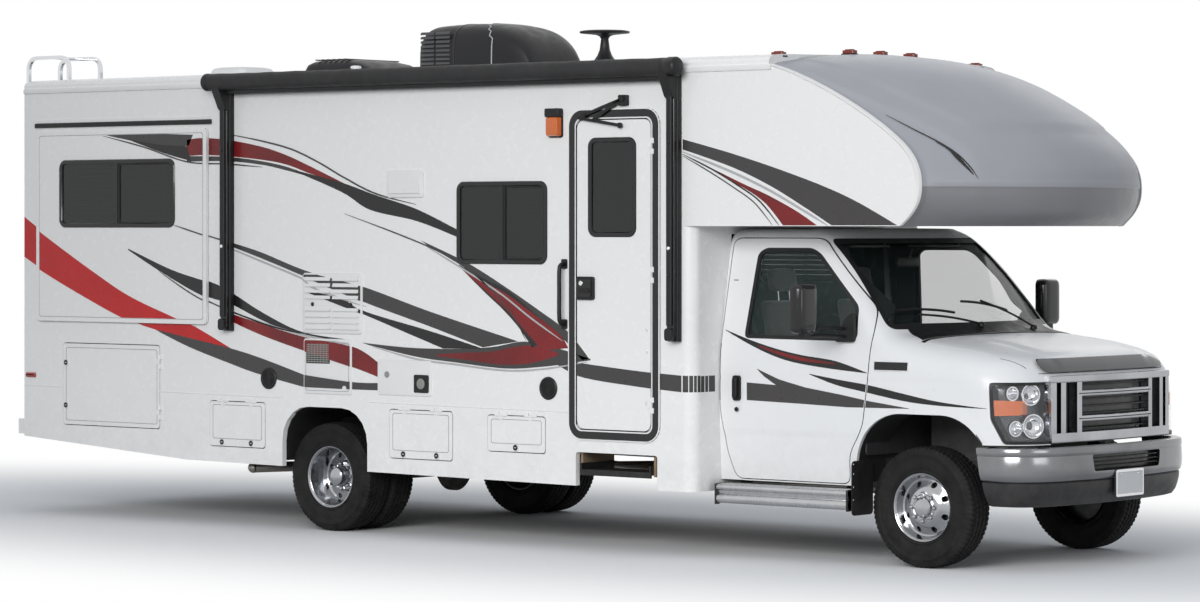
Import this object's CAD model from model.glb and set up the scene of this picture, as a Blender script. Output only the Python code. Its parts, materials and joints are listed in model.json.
"""Looks of a motorhome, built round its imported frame.

Metres throughout: +X is forward, -Y the entry side, +Z up, and the floor is at z = 0.
Cab sizes are given from the front axle's line, coach sizes from the frame's boxes.
"""
import json
import math

import bmesh
import bpy
import numpy as np
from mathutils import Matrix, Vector, geometry

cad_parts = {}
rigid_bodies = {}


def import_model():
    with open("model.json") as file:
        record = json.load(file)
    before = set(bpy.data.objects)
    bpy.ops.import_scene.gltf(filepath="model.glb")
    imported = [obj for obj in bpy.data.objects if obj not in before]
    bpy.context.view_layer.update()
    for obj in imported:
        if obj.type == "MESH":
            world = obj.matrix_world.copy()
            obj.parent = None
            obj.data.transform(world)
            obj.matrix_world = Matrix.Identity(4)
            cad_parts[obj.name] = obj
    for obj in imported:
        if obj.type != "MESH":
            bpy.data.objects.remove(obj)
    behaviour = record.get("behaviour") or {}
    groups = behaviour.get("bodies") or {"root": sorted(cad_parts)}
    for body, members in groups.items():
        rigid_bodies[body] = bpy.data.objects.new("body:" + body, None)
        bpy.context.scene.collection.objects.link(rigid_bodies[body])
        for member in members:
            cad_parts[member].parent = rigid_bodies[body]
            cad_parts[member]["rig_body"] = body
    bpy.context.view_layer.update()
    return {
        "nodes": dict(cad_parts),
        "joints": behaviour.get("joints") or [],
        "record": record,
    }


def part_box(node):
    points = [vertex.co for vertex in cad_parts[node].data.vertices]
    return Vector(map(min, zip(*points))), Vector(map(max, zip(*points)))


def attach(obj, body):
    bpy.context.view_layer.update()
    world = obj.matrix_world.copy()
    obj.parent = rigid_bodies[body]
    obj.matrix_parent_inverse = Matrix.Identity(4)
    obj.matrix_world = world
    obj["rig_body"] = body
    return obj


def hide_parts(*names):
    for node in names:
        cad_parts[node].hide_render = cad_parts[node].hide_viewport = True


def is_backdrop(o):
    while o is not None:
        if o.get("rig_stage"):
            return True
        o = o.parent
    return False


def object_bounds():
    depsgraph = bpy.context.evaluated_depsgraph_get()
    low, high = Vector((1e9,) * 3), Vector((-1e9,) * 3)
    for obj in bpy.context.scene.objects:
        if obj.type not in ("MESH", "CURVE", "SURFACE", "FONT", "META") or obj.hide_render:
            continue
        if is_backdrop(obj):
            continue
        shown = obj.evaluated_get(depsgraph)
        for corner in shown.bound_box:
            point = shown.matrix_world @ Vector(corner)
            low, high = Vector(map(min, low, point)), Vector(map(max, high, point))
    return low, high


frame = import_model()

# ---------------------------------------------------------------- driving places, from the frame
joints = {j["name"]: j for j in frame["joints"]}
wheel_at = {n: Vector(joints[f"wheel_{n}_spin"]["pos_m"]) for n in
            ("front_right", "front_left", "rear_right", "rear_left")}
AXLE_F = wheel_at["front_right"].x
AXLE_R = wheel_at["rear_right"].x
HUB_Z = wheel_at["front_right"].z
HALF_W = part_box("roof")[1].y
CAB_HALF = abs(joints["cab_door_right_hinge"]["pos_m"][1]) - 0.005
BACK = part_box("roof")[0].x
ROOF_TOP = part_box("roof")[1].z
WALL_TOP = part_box("roof")[0].z
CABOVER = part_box("cab_surround")[1].z - 0.05
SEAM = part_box("cab_surround")[0].x
FACE = SEAM + 0.08
CAP_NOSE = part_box("front_cap")[1].x - AXLE_F


# ---------------------------------------------------------------- camera, floor and light
def make_camera():
    cam = bpy.data.objects.new("camera", bpy.data.cameras.new("camera"))
    bpy.context.scene.collection.objects.link(cam)
    cam.location = (16.597, -19.957, 2.088)
    cam.rotation_euler = (math.radians(90), 0, math.radians(39.216))
    cam.data.sensor_width = 36
    cam.data.lens = 112.87
    cam.data.shift_x = -0.0135
    cam.data.shift_y = -0.0621
    cam.data.clip_end = 300
    bpy.context.scene.camera = cam


def lamp(name, place, target, size, power):
    data = bpy.data.lights.new(name, "AREA")
    data.shape = "RECTANGLE"
    data.size, data.size_y = size
    data.energy = power
    o = bpy.data.objects.new(name, data)
    bpy.context.scene.collection.objects.link(o)
    o.location = place
    o.rotation_euler = (Vector(target) - Vector(place)).to_track_quat("-Z", "Y").to_euler()


def add_node(nt, kind, inputs=None, **settings):
    """A shader node with its settings, and with each input given a value or a link."""
    node = nt.nodes.new("ShaderNode" + kind)
    for name, value in settings.items():
        setattr(node, name, value)
    for name, value in (inputs or {}).items():
        if isinstance(value, bpy.types.NodeSocket):
            nt.links.new(value, node.inputs[name])
        else:
            node.inputs[name].default_value = value
    return node


def seen_ray(nt):
    """1 for camera, mirror and see-through rays, 0 for the rays that carry light."""
    path = add_node(nt, "LightPath")
    total = path.outputs["Is Camera Ray"]
    for name in ("Is Glossy Ray", "Is Transmission Ray"):
        total = add_node(nt, "Math", {0: total, 1: path.outputs[name]},
                         operation="MAXIMUM").outputs[0]
    return total


def mix_shaders(nt, fac, low, high, kind):
    """Two shaders mixed into the tree's output."""
    mix = add_node(nt, "MixShader", {"Fac": fac, 1: low.outputs[0], 2: high.outputs[0]})
    add_node(nt, kind, {"Surface": mix.outputs[0]})


def make_stage():
    """A floor that takes shadow near the vehicle and fades into the white round it."""
    r = 90
    mesh = bpy.data.meshes.new("floor")
    mesh.from_pydata([(-r, -r, 0), (r, -r, 0), (r, r, 0), (-r, r, 0)], [], [(0, 1, 2, 3)])
    floor = bpy.data.objects.new("floor", mesh)
    bpy.context.scene.collection.objects.link(floor)
    floor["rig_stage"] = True
    mat = bpy.data.materials.new("floor")
    mesh.materials.append(mat)
    mat.use_nodes = True
    nt = mat.node_tree
    nt.nodes.clear()
    diffuse = add_node(nt, "BsdfDiffuse", {"Color": (0.86, 0.86, 0.86, 1)})
    glow = add_node(nt, "Emission", {"Strength": seen_ray(nt)})
    coord = add_node(nt, "TexCoord").outputs["Object"]
    oval = add_node(nt, "VectorMath", {0: coord, 1: (0.45, 1, 1)}, operation="MULTIPLY")
    length = add_node(nt, "VectorMath", {0: oval.outputs[0]}, operation="LENGTH")
    fade = add_node(nt, "MapRange", {"Value": length.outputs["Value"], "From Min": 2.0,
                                     "From Max": 5.2}, interpolation_type="SMOOTHSTEP")
    mix_shaders(nt, fade.outputs["Result"], diffuse, glow, "OutputMaterial")

    world = bpy.data.worlds.new("studio")
    bpy.context.scene.world = world
    world.use_nodes = True
    nt = world.node_tree
    nt.nodes.clear()
    light = add_node(nt, "Background", {"Color": (0.86, 0.92, 1.0, 1), "Strength": 0.46})
    seen = add_node(nt, "Background", {"Color": (1, 1, 1, 1), "Strength": 1})
    mix_shaders(nt, seen_ray(nt), light, seen, "OutputWorld")

    lamp("key", (6, -14, 5.5), (0, -1, 1.5), (9, 5), 1420)
    lamp("front", (16, -2, 3.5), (3, 0, 1.8), (6, 4), 160)
    lamp("far_side", (-2, 13, 8), (0, 1, 1.5), (10, 5), 170)
    lamp("top", (0, 0, 12), (0, 0, 0), (12, 6), 60)
    bpy.context.scene.view_settings.view_transform = "Standard"


make_camera()
make_stage()


# ---------------------------------------------------------------- materials
def noise_node(nt, scale, detail=4, rough=0.55, stretch=(1, 1, 1)):
    coord = add_node(nt, "TexCoord").outputs["Object"]
    place = add_node(nt, "Mapping", {"Vector": coord, "Scale": stretch}).outputs["Vector"]
    return add_node(nt, "TexNoise", {"Vector": place, "Scale": scale, "Detail": detail,
                                     "Roughness": rough}).outputs["Fac"]


def ramp_node(nt, value, low, high, out_low=0.0, out_high=1.0):
    return add_node(nt, "MapRange", {"Value": value, "From Min": low, "From Max": high,
                                     "To Min": out_low, "To Max": out_high}).outputs["Result"]


def mix_color(nt, fac, a, b):
    a, b = ((*c, 1) if isinstance(c, tuple) else c for c in (a, b))
    return add_node(nt, "Mix", {0: fac, 6: a, 7: b}, data_type="RGBA").outputs[2]


def math_node(nt, operation, a, b):
    return add_node(nt, "Math", {0: a, 1: b}, operation=operation).outputs[0]


def bump_node(nt, height, distance):
    """Gives the tree's surface a relief."""
    bump = add_node(nt, "Bump", {"Height": height, "Distance": distance})
    nt.links.new(bump.outputs["Normal"], nt.nodes["Principled BSDF"].inputs["Normal"])


def axes_node(nt):
    """The X, Y and Z of the point being shaded."""
    return add_node(nt, "SeparateXYZ", {0: add_node(nt, "TexCoord").outputs["Object"]}).outputs


def surface(name, values):
    """A new principled material, its node tree and its shader, with these values set."""
    mat = bpy.data.materials.new(name)
    mat.use_nodes = True
    bsdf = mat.node_tree.nodes["Principled BSDF"]
    for socket, value in values.items():
        bsdf.inputs[socket].default_value = value
    return mat, mat.node_tree, bsdf


def finish(name, base, rough, metallic=0.0, vary=0.05, rough_vary=0.08, grain=0, grain_height=0.0,
           dirt=0.0, coat=0.0, stretch=(1, 1, 1), specular=0.5, sheen=0.0):
    """A principled finish: tone and gloss drift, surface grain, and road dust low on the body."""
    mat, nt, bsdf = surface(name, {"Metallic": metallic, "Specular IOR Level": specular,
                                   "Coat Weight": coat, "Coat Roughness": 0.04,
                                   "Sheen Weight": sheen})
    darker = tuple(c * (1 - vary) for c in base)
    color = mix_color(nt, ramp_node(nt, noise_node(nt, 2.5), 0.35, 0.65), base, darker)
    if dirt:
        low = ramp_node(nt, axes_node(nt)["Z"], 1.0, 0.35)
        spots = ramp_node(nt, noise_node(nt, 9, 8, 0.7), 0.35, 0.75)
        amount = math_node(nt, "MULTIPLY", math_node(nt, "MULTIPLY", low, spots), dirt)
        color = mix_color(nt, amount, color, (0.36, 0.33, 0.29))
    nt.links.new(color, bsdf.inputs["Base Color"])
    gloss = ramp_node(nt, noise_node(nt, 14, 5), 0.3, 0.7, max(rough - rough_vary, 0.02),
                      rough + rough_vary)
    nt.links.new(gloss, bsdf.inputs["Roughness"])
    if grain:
        bump_node(nt, noise_node(nt, grain, 3, 0.6, stretch), grain_height)
    return mat


def glass(name, tint, density):
    """Tinted glass as a thin glossy pane: dark body, clear coat, part see-through."""
    mat, nt, bsdf = surface(name, {"Roughness": 0.02, "IOR": 1.5, "Alpha": density,
                                   "Coat Weight": 0.2, "Coat Roughness": 0.02})
    streak = ramp_node(nt, noise_node(nt, 3, 3, 0.5, (1, 1, 0.3)), 0.3, 0.7)
    nt.links.new(mix_color(nt, streak, tint, tuple(c * 0.8 for c in tint)),
                 bsdf.inputs["Base Color"])
    return mat


def weave(name, base):
    """Woven seat cloth: crossed threads as bump, with a soft sheen."""
    mat = finish(name, base, 0.85, vary=0.18, sheen=0.4)
    nt = mat.node_tree
    coord = add_node(nt, "TexCoord").outputs["Object"]
    threads = [add_node(nt, "TexWave", {"Vector": coord, "Scale": 45, "Distortion": 1.5},
                        bands_direction=axis).outputs["Fac"] for axis in ("X", "Z")]
    bump_node(nt, math_node(nt, "MAXIMUM", *threads), 0.001)
    return mat


def diamond_plate(name):
    """Tread plate: crossed raised bars on worn aluminium."""
    mat = finish(name, (0.62, 0.63, 0.64), 0.32, metallic=0.9, vary=0.2, dirt=0.5)
    nt = mat.node_tree
    coord = add_node(nt, "TexCoord").outputs["Object"]
    waves = []
    for turn in (45, -45):
        place = add_node(nt, "Mapping", {"Vector": coord, "Rotation": (0, 0, math.radians(turn))})
        waves.append(add_node(nt, "TexWave", {"Vector": place.outputs["Vector"],
                                              "Scale": 14}).outputs["Fac"])
    bump_node(nt, math_node(nt, "MULTIPLY", *waves), 0.003)
    return mat


def line_inside(mat, low, high, color):
    """Gives a finish another colour inside a box, for the faces that look into the coach."""
    nt = mat.node_tree
    base = nt.nodes["Principled BSDF"].inputs["Base Color"]
    axes = axes_node(nt)
    inside_box = None
    for axis, a, b in zip("XYZ", low, high):
        for operation, value in (("GREATER_THAN", a), ("LESS_THAN", b)):
            test = math_node(nt, operation, axes[axis], value)
            inside_box = test if inside_box is None else math_node(nt, "MULTIPLY", inside_box,
                                                                   test)
    outer = base.links[0].from_socket
    nt.links.new(mix_color(nt, inside_box, outer, color), base)


COACH_WHITE = {"base": (0.82, 0.818, 0.81), "rough": 0.27, "vary": 0.008, "rough_vary": 0.01,
               "coat": 0.2, "grain": 60, "grain_height": 0.00012, "dirt": 0.25, "specular": 0.4}
M = {
    "white": finish("body_white", **COACH_WHITE),
    "slide_white": finish("slide_white", **COACH_WHITE),
    "cab": finish("cab_white", (0.78, 0.785, 0.79), 0.30, vary=0.02, rough_vary=0.03, coat=0.08,
                  grain=120, grain_height=0.00015, dirt=0.25, specular=0.28),
    "silver": finish("cap_silver", (0.37, 0.38, 0.41), 0.48, metallic=0.10, vary=0.04,
                     rough_vary=0.03, coat=0.04, specular=0.22),
    "black": finish("black_trim", (0.011, 0.011, 0.012), 0.42, vary=0.3, grain=500,
                    grain_height=0.0003, dirt=0.10, specular=0.28),
    "gloss_black": finish("gloss_black", (0.010, 0.010, 0.011), 0.14, vary=0.2, coat=0.15,
                          specular=0.35),
    "moulding": finish("vent_white", (0.78, 0.78, 0.77), 0.35, vary=0.04, grain=300,
                       grain_height=0.0002, dirt=0.2),
    "chrome": finish("chrome", (0.72, 0.73, 0.75), 0.10, metallic=1.0, vary=0.08, rough_vary=0.05,
                     dirt=0.12),
    "steel": finish("rim_steel", (0.46, 0.47, 0.49), 0.15, metallic=1.0, vary=0.25,
                    rough_vary=0.08, dirt=0.12),
    "bright": finish("grille_chrome", (0.42, 0.43, 0.45), 0.13, metallic=1.0, vary=0.2,
                     rough_vary=0.05, dirt=0.1),
    "chassis": finish("chassis_black", (0.022, 0.022, 0.024), 0.55, vary=0.4, grain=180,
                      grain_height=0.0008, dirt=0.5),
    "engine": finish("engine_grey", (0.12, 0.12, 0.125), 0.5, metallic=0.5, vary=0.4, grain=150,
                     grain_height=0.001, dirt=0.4),
    "exhaust": finish("exhaust_steel", (0.30, 0.28, 0.26), 0.42, metallic=0.85, vary=0.35,
                      grain=90, grain_height=0.0005, dirt=0.5),
    "tank": finish("tank_plastic", (0.035, 0.035, 0.036), 0.6, vary=0.3, grain=250,
                   grain_height=0.0005, dirt=0.4),
    "board": finish("floor_board", (0.26, 0.19, 0.12), 0.6, vary=0.3, grain=30,
                    grain_height=0.001, stretch=(1, 8, 8)),
    "tub": finish("tub_plastic", (0.06, 0.06, 0.065), 0.5, vary=0.3, grain=200,
                  grain_height=0.0006),
    "dash": finish("dash_plastic", (0.045, 0.045, 0.048), 0.55, vary=0.25, grain=700,
                   grain_height=0.0004),
    "cloth": weave("seat_cloth", (0.10, 0.095, 0.09)),
    "tread": diamond_plate("tread_plate"),
    "rubber": finish("tyre", (0.008, 0.008, 0.0085), 0.66, vary=0.35, grain=260,
                     grain_height=0.0006, dirt=0.05, specular=0.16),
    "grey": finish("stripe_grey", (0.044, 0.041, 0.041), 0.32, vary=0.06, coat=0.12,
                   specular=0.35),
    "dark": finish("stripe_black", (0.010, 0.010, 0.011), 0.30, vary=0.2, coat=0.1,
                   specular=0.35),
    "light": finish("stripe_light", (0.42, 0.42, 0.43), 0.28, vary=0.05, coat=0.3),
    "red": finish("stripe_red", (0.52, 0.005, 0.007), 0.28, vary=0.12, coat=0.15,
                  specular=0.35),
    "maroon": finish("stripe_maroon", (0.20, 0.009, 0.011), 0.30, vary=0.35, coat=0.1,
                     specular=0.35),
    "amber": finish("amber_lens", (0.66, 0.13, 0.008), 0.16, vary=0.15, coat=0.6, grain=220,
                    grain_height=0.0008),
    "red_lens": finish("red_lens", (0.35, 0.01, 0.01), 0.16, vary=0.15, coat=0.6, grain=220,
                       grain_height=0.0008),
    "dome": finish("clearance_lens", (0.20, 0.022, 0.010), 0.22, vary=0.2, coat=0.3, grain=220,
                   grain_height=0.0008, specular=0.3),
    "smoke": finish("smoke_shield", (0.030, 0.032, 0.038), 0.10, vary=0.1, coat=0.4),
    "silver_low": finish("cap_silver_low", (0.23, 0.232, 0.245), 0.42, metallic=0.15, vary=0.06,
                         rough_vary=0.05, coat=0.06, specular=0.25),
    "groove": finish("joint_shadow", (0.30, 0.30, 0.30), 0.7, vary=0.2),
    "fabric": finish("awning_roll", (0.022, 0.022, 0.023), 0.6, vary=0.25, grain=160,
                     grain_height=0.0006, stretch=(1, 12, 12), specular=0.3),
    "bucket": finish("lamp_bucket", (0.10, 0.10, 0.105), 0.25, metallic=0.8, vary=0.4),
    "chrome_dull": finish("bumper_chrome", (0.235, 0.238, 0.25), 0.20, metallic=1.0, vary=0.25,
                          rough_vary=0.06, dirt=0.12),
    "valance": finish("bumper_valance", (0.020, 0.020, 0.022), 0.42, vary=0.25, grain=300,
                      grain_height=0.0004, dirt=0.1, specular=0.3),
    "plate": finish("blank_plate", (0.62, 0.63, 0.64), 0.35, vary=0.05),
    "board_metal": finish("running_board", (0.55, 0.56, 0.58), 0.30, metallic=0.95, vary=0.15,
                          grain=80, grain_height=0.0003, stretch=(0.1, 4, 4), dirt=0.35),
    "liner": finish("wheelhouse", (0.010, 0.010, 0.010), 0.7, vary=0.4, grain=60,
                    grain_height=0.002),
    "lining": finish("cab_lining", (0.030, 0.030, 0.034), 0.8, vary=0.3, grain=300,
                     grain_height=0.0005, specular=0.2),
    "visor": finish("visor", (0.16, 0.155, 0.15), 0.8, vary=0.1),
    "shell": finish("roof_cover", (0.012, 0.012, 0.014), 0.42, vary=0.3, grain=300,
                    grain_height=0.0004, specular=0.3),
    "shell_light": finish("roof_louvre", (0.075, 0.075, 0.08), 0.5, vary=0.3),
    "blind": finish("blind", (0.10, 0.10, 0.092), 0.6, vary=0.1),
    "slat": finish("blind_edge", (0.24, 0.25, 0.23), 0.5, vary=0.1),
    "tint": glass("tinted_glass", (0.010, 0.012, 0.012), 0.62),
    "screen": glass("screen_glass", (0.02, 0.035, 0.032), 0.16),
    "screen_side": glass("side_glass", (0.06, 0.10, 0.095), 0.16),
    "lens": glass("lamp_lens", (0.75, 0.78, 0.80), 0.06),
}
line_inside(M["white"], (BACK + 0.030, 0.027 - HALF_W, 0.80), (SEAM, HALF_W - 0.027, 3.02),
            (0.060, 0.056, 0.050))


# ---------------------------------------------------------------- outlines
def from_axle(points):
    return [(AXLE_F + x, z) for x, z in points]


def rounded_rect(x0, x1, z0, z1, r, n=6):
    pts = []
    for cx, cz, a0 in ((x1 - r, z1 - r, 0), (x0 + r, z1 - r, 90), (x0 + r, z0 + r, 180),
                       (x1 - r, z0 + r, 270)):
        for i in range(n + 1):
            a = math.radians(a0 + 90 * i / n)
            pts.append((cx + r * math.cos(a), cz + r * math.sin(a)))
    return pts


def inset(b, g):
    return (b[0] + g, b[1] - g, b[2] + g, b[3] - g)


def round_corners(points, radius, n=5):
    """The closed outline with each corner replaced by a curve of about that radius."""
    out = []
    count = len(points)
    for i, p in enumerate(points):
        p = Vector(p)
        back, ahead = Vector(points[i - 1]) - p, Vector(points[(i + 1) % count]) - p
        r = min(radius, back.length * 0.45, ahead.length * 0.45)
        a, b = p + back.normalized() * r, p + ahead.normalized() * r
        for k in range(n + 1):
            t = k / n
            out.append(tuple(a * (1 - t) ** 2 + p * (2 * t * (1 - t)) + b * t * t))
    return out


def smooth_line(points, n=8):
    """A Catmull-Rom curve through the points."""
    last = len(points) - 1
    out = []
    for i in range(last):
        p = [Vector(points[min(max(i + k, 0), last)]) for k in (-1, 0, 1, 2)]
        for k in range(n):
            t = k / n
            out.append(tuple(0.5 * ((2 * p[1]) + (p[2] - p[0]) * t
                             + (2 * p[0] - 5 * p[1] + 4 * p[2] - p[3]) * t * t
                             + (3 * p[1] - p[0] - 3 * p[2] + p[3]) * t ** 3)))
    out.append(tuple(points[-1]))
    return out


def swoosh(top, bottom, n=8):
    """An outline between two smooth edges that run the same way."""
    return smooth_line(top, n) + smooth_line(bottom, n)[::-1]


def inside(points, outline):
    """Which of the 2-D points lie in the closed outline."""
    x, y = points[:, 0], points[:, 1]
    hit = np.zeros(len(points), bool)
    ring = np.asarray(outline, float)
    for (x0, y0), (x1, y1) in zip(ring, np.roll(ring, -1, 0)):
        if y0 == y1:
            continue
        crosses = (y0 > y) != (y1 > y)
        hit ^= crosses & (x < (x1 - x0) * (y - y0) / (y1 - y0) + x0)
    return hit


def densify(outline, step):
    out = []
    for a, b in zip(outline, outline[1:] + outline[:1]):
        a, b = Vector(a), Vector(b)
        n = max(1, math.ceil((b - a).length / step))
        out += [tuple(a.lerp(b, k / n)) for k in range(n)]
    return out


def fill(outline, keep, holes, step):
    """Triangles about a step apart that fill an outline where it lies in keep, round the holes."""
    rings = [densify(list(r), step) for r in (outline, keep, *holes)]
    pts = [p for r in rings for p in r]
    edges, start = [], 0
    for r in rings:
        edges += [(start + i, start + (i + 1) % len(r)) for i in range(len(r))]
        start += len(r)
    edge_pts = np.array(pts)

    def wanted(points):
        hit = inside(points, outline) & inside(points, keep)
        for ring in holes:
            hit &= ~inside(points, ring)
        return hit

    low, high = np.array(rings[0]).min(0), np.array(rings[0]).max(0)
    gx, gy = np.meshgrid(np.arange(low[0] + step / 2, high[0], step),
                         np.arange(low[1] + step / 2, high[1], step))
    grid = np.column_stack([gx.ravel(), gy.ravel()])
    grid = grid[wanted(grid)]
    if len(grid):
        gap = np.sqrt(((grid[:, None] - edge_pts[None]) ** 2).sum(2)).min(1)
        grid = grid[gap > step * 0.45]
    pts = [Vector(p) for p in pts + grid.tolist()]
    co, _, tris, *_ = geometry.delaunay_2d_cdt(pts, edges, [], 0, 1e-6)
    co, tris = np.array([tuple(c) for c in co]), np.array(tris)
    if not len(tris):
        return co, tris
    tris = tris[wanted(co[tris].mean(1))]
    used, where = np.unique(tris, return_inverse=True)
    return co[used], where.reshape(tris.shape)


# ---------------------------------------------------------------- mesh building
def place3(points, axis, depth):
    """2-D points at a depth along an axis: x takes (y, z), y takes (x, z), z takes (x, y)."""
    p = np.asarray(points, float).reshape(-1, 2)
    d = np.full(len(p), depth, float)
    order = {"x": (d, p[:, 0], p[:, 1]), "y": (p[:, 0], d, p[:, 1]), "z": (p[:, 0], p[:, 1], d)}
    return np.column_stack(order[axis])


class Shape:
    """Gathers faces of several finishes, and makes one piece of them."""

    def __init__(self):
        self.verts, self.faces, self.mats, self.names, self.count = [], [], [], [], 0

    def add(self, verts, faces, mat):
        if mat not in self.names:
            self.names.append(mat)
        k = self.names.index(mat)
        self.verts += [tuple(v) for v in verts]
        self.faces += [tuple(int(i) + self.count for i in f) for f in faces]
        self.mats += [k] * len(faces)
        self.count = len(self.verts)
        return self

    def prism(self, outline, axis, a, b, mat):
        n = len(outline)
        verts = np.vstack([place3(outline, axis, a), place3(outline, axis, b)])
        faces = [(i, (i + 1) % n, n + (i + 1) % n, n + i) for i in range(n)]
        return self.add(verts, faces + [tuple(range(n))[::-1], tuple(range(n, 2 * n))], mat)

    def box(self, low, high, mat, r=0.0):
        (x0, y0, z0), (x1, y1, z1) = low, high
        if not r:
            return self.prism([(x0, z0), (x1, z0), (x1, z1), (x0, z1)], "y", y0, y1, mat)
        return self.prism(rounded_rect(x0, x1, z0, z1, r), "y", y0, y1, mat)

    def frame(self, outer, inner, axis, a, b, mat):
        """A flat ring between two outlines of as many points."""
        n = len(outer)
        verts = np.vstack([place3(o, axis, d) for d in (a, b) for o in (outer, inner)])
        faces = []
        for i in range(n):
            j = (i + 1) % n
            faces += [(i, j, n + j, n + i), (2 * n + i, 3 * n + i, 3 * n + j, 2 * n + j),
                      (i, 2 * n + i, 2 * n + j, j), (n + i, n + j, 3 * n + j, 3 * n + i)]
        return self.add(verts, faces, mat)

    def rings(self, rings, mat, caps=True, loop=False):
        """Skins through closed rings of as many points, capped or joined last to first."""
        n = len(rings[0])
        faces = []
        for k in range(len(rings) if loop else len(rings) - 1):
            m = (k + 1) % len(rings)
            for i in range(n):
                j = (i + 1) % n
                faces.append((k * n + i, k * n + j, m * n + j, m * n + i))
        if caps and not loop:
            last = (len(rings) - 1) * n
            faces += [tuple(range(n))[::-1], tuple(range(last, last + n))]
        return self.add([p for r in rings for p in r], faces, mat)

    def boss(self, b, r, axis, steps, mat):
        """A rounded block over box b, inset by g at each depth of its (g, depth) steps."""
        return self.rings([place3(rounded_rect(*inset(b, g), r), axis, d) for g, d in steps], mat)

    def tube(self, path, r, mat, n=12, closed=False):
        path = [Vector(p) for p in path]
        count = len(path)
        side, rings = None, []
        for i, p in enumerate(path):
            if closed:
                run = path[(i + 1) % count] - path[i - 1]
            else:
                run = path[min(i + 1, count - 1)] - path[max(i - 1, 0)]
            run.normalize()
            if side is None:
                side = run.orthogonal().normalized()
            side = (side - run * side.dot(run)).normalized()
            up = run.cross(side)
            radius = r[i] if isinstance(r, (list, tuple)) else r
            rings.append([p + (side * math.cos(a) + up * math.sin(a)) * radius
                          for a in (2 * math.pi * k / n for k in range(n))])
        if closed:
            rings.append(rings[0])
        return self.rings(rings, mat, caps=not closed)

    def lathe(self, profile, centre, axis, mat, n=48, wobble=None, loop=False):
        """Turns (along, radius) points round an axis through the centre."""
        d = Vector(axis).normalized()
        a = d.orthogonal().normalized()
        b = d.cross(a)
        rings = []
        for k, (along, radius) in enumerate(profile):
            ring = []
            for i in range(n):
                t = 2 * math.pi * i / n
                r = radius + (wobble(k, i) if wobble else 0)
                ring.append(Vector(centre) + d * along + (a * math.cos(t) + b * math.sin(t)) * r)
            rings.append(ring)
        return self.rings(rings, mat, loop=loop)

    def panel(self, co, tris, mat, thick, normal):
        """A triangulated skin given depth along a direction."""
        n = len(co)
        back = co + np.asarray(normal) * thick
        edges = {}
        for t in tris:
            for a, b in ((t[0], t[1]), (t[1], t[2]), (t[2], t[0])):
                edges[(a, b)] = edges.get((a, b), 0) + 1
        rim = [(a, b) for a, b in edges if (b, a) not in edges]
        faces = [tuple(t) for t in tris] + [tuple(n + i for i in t[::-1]) for t in tris]
        faces += [(b, a, n + a, n + b) for a, b in rim]
        return self.add(np.vstack([co, back]), faces, mat)

    def make(self, name, body, slot, replaces=(), bevel=0.0, angle=35, weld=1e-5):
        mesh = bpy.data.meshes.new(name)
        mesh.from_pydata(self.verts, [], self.faces)
        for m in self.names:
            mesh.materials.append(M[m])
        mesh.polygons.foreach_set("material_index", self.mats)
        bm = bmesh.new()
        bm.from_mesh(mesh)
        bmesh.ops.remove_doubles(bm, verts=bm.verts, dist=weld)
        bmesh.ops.recalc_face_normals(bm, faces=bm.faces)
        for e in bm.edges:
            sharp = len(e.link_faces) != 2 or e.calc_face_angle(0) > math.radians(angle)
            e.smooth = not sharp
        for f in bm.faces:
            f.smooth = True
        bm.to_mesh(mesh)
        bm.free()
        o = bpy.data.objects.new(name, mesh)
        bpy.context.scene.collection.objects.link(o)
        if bevel:
            m = o.modifiers.new("edges", "BEVEL")
            m.width, m.segments, m.limit_method = bevel, 2, "ANGLE"
            m.angle_limit = math.radians(40)
            m.harden_normals = False
        settle(o, body, replaces)


def settle(o, body, replaces=()):
    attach(o, body)
    if replaces:
        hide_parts(*replaces)


def stud(r, straight, height, top_r):
    """The profile to turn for a round head: a straight side, then a cone to its flat top."""
    return [(0, 0), (0, r), (straight, r), (height, top_r), (height, 0)]


def mirrored(shape):
    """The same shape on the other side of the centre plane."""
    other = Shape()
    other.verts = [(x, -y, z) for x, y, z in shape.verts]
    other.faces = [f[::-1] for f in shape.faces]
    other.mats, other.names, other.count = list(shape.mats), list(shape.names), shape.count
    return other


def make_pair(shape, name, bodies, slot, nodes=(), **options):
    """A right-hand piece and its mirror image; bodies and nodes are given as (right, left)."""
    shape.make(f"{name}_right", bodies[0], slot, nodes[:1], **options)
    mirrored(shape).make(f"{name}_left", bodies[1], slot, nodes[1:], **options)


# ---------------------------------------------------------------- cab skin
HC = CAB_HALF
FAR = 1.6
SIDES = ((-1, "right"), (1, "left"))
SECTION = smooth_line([(HC - 0.026, 0.30), (HC - 0.020, 0.48), (HC - 0.006, 0.70),
                       (HC - 0.001, 0.90), (HC, 1.12), (HC - 0.006, 1.26), (HC - 0.030, 1.40),
                       (HC - 0.077, 1.68), (HC - 0.130, 1.975), (HC - 0.160, 2.05),
                       (HC - 0.205, 2.10), (HC - 0.26, 2.16)], 10)
PROFILE = smooth_line([(-2.2, 2.075), (-1.82, 2.075), (-0.95, 2.075), (-0.80, 2.060),
                       (-0.66, 1.985), (-0.47, 1.815), (-0.28, 1.605), (-0.17, 1.475),
                       (-0.10, 1.425), (0.0, 1.405), (0.2, 1.385), (0.4, 1.35), (0.55, 1.312),
                       (0.67, 1.262), (0.73, 1.215), (0.78, 1.12), (0.84, 0.9)], 10)
PLAN = smooth_line([(-2.4, HC), (-1.82, HC), (-0.5, HC), (0.10, HC), (0.30, HC - 0.005),
                    (0.44, HC - 0.022), (0.56, HC - 0.070), (0.65, HC - 0.140),
                    (0.71, HC - 0.235), (0.742, HC - 0.36), (0.757, HC - 0.60),
                    (0.765, 0.0)], 8)
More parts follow.
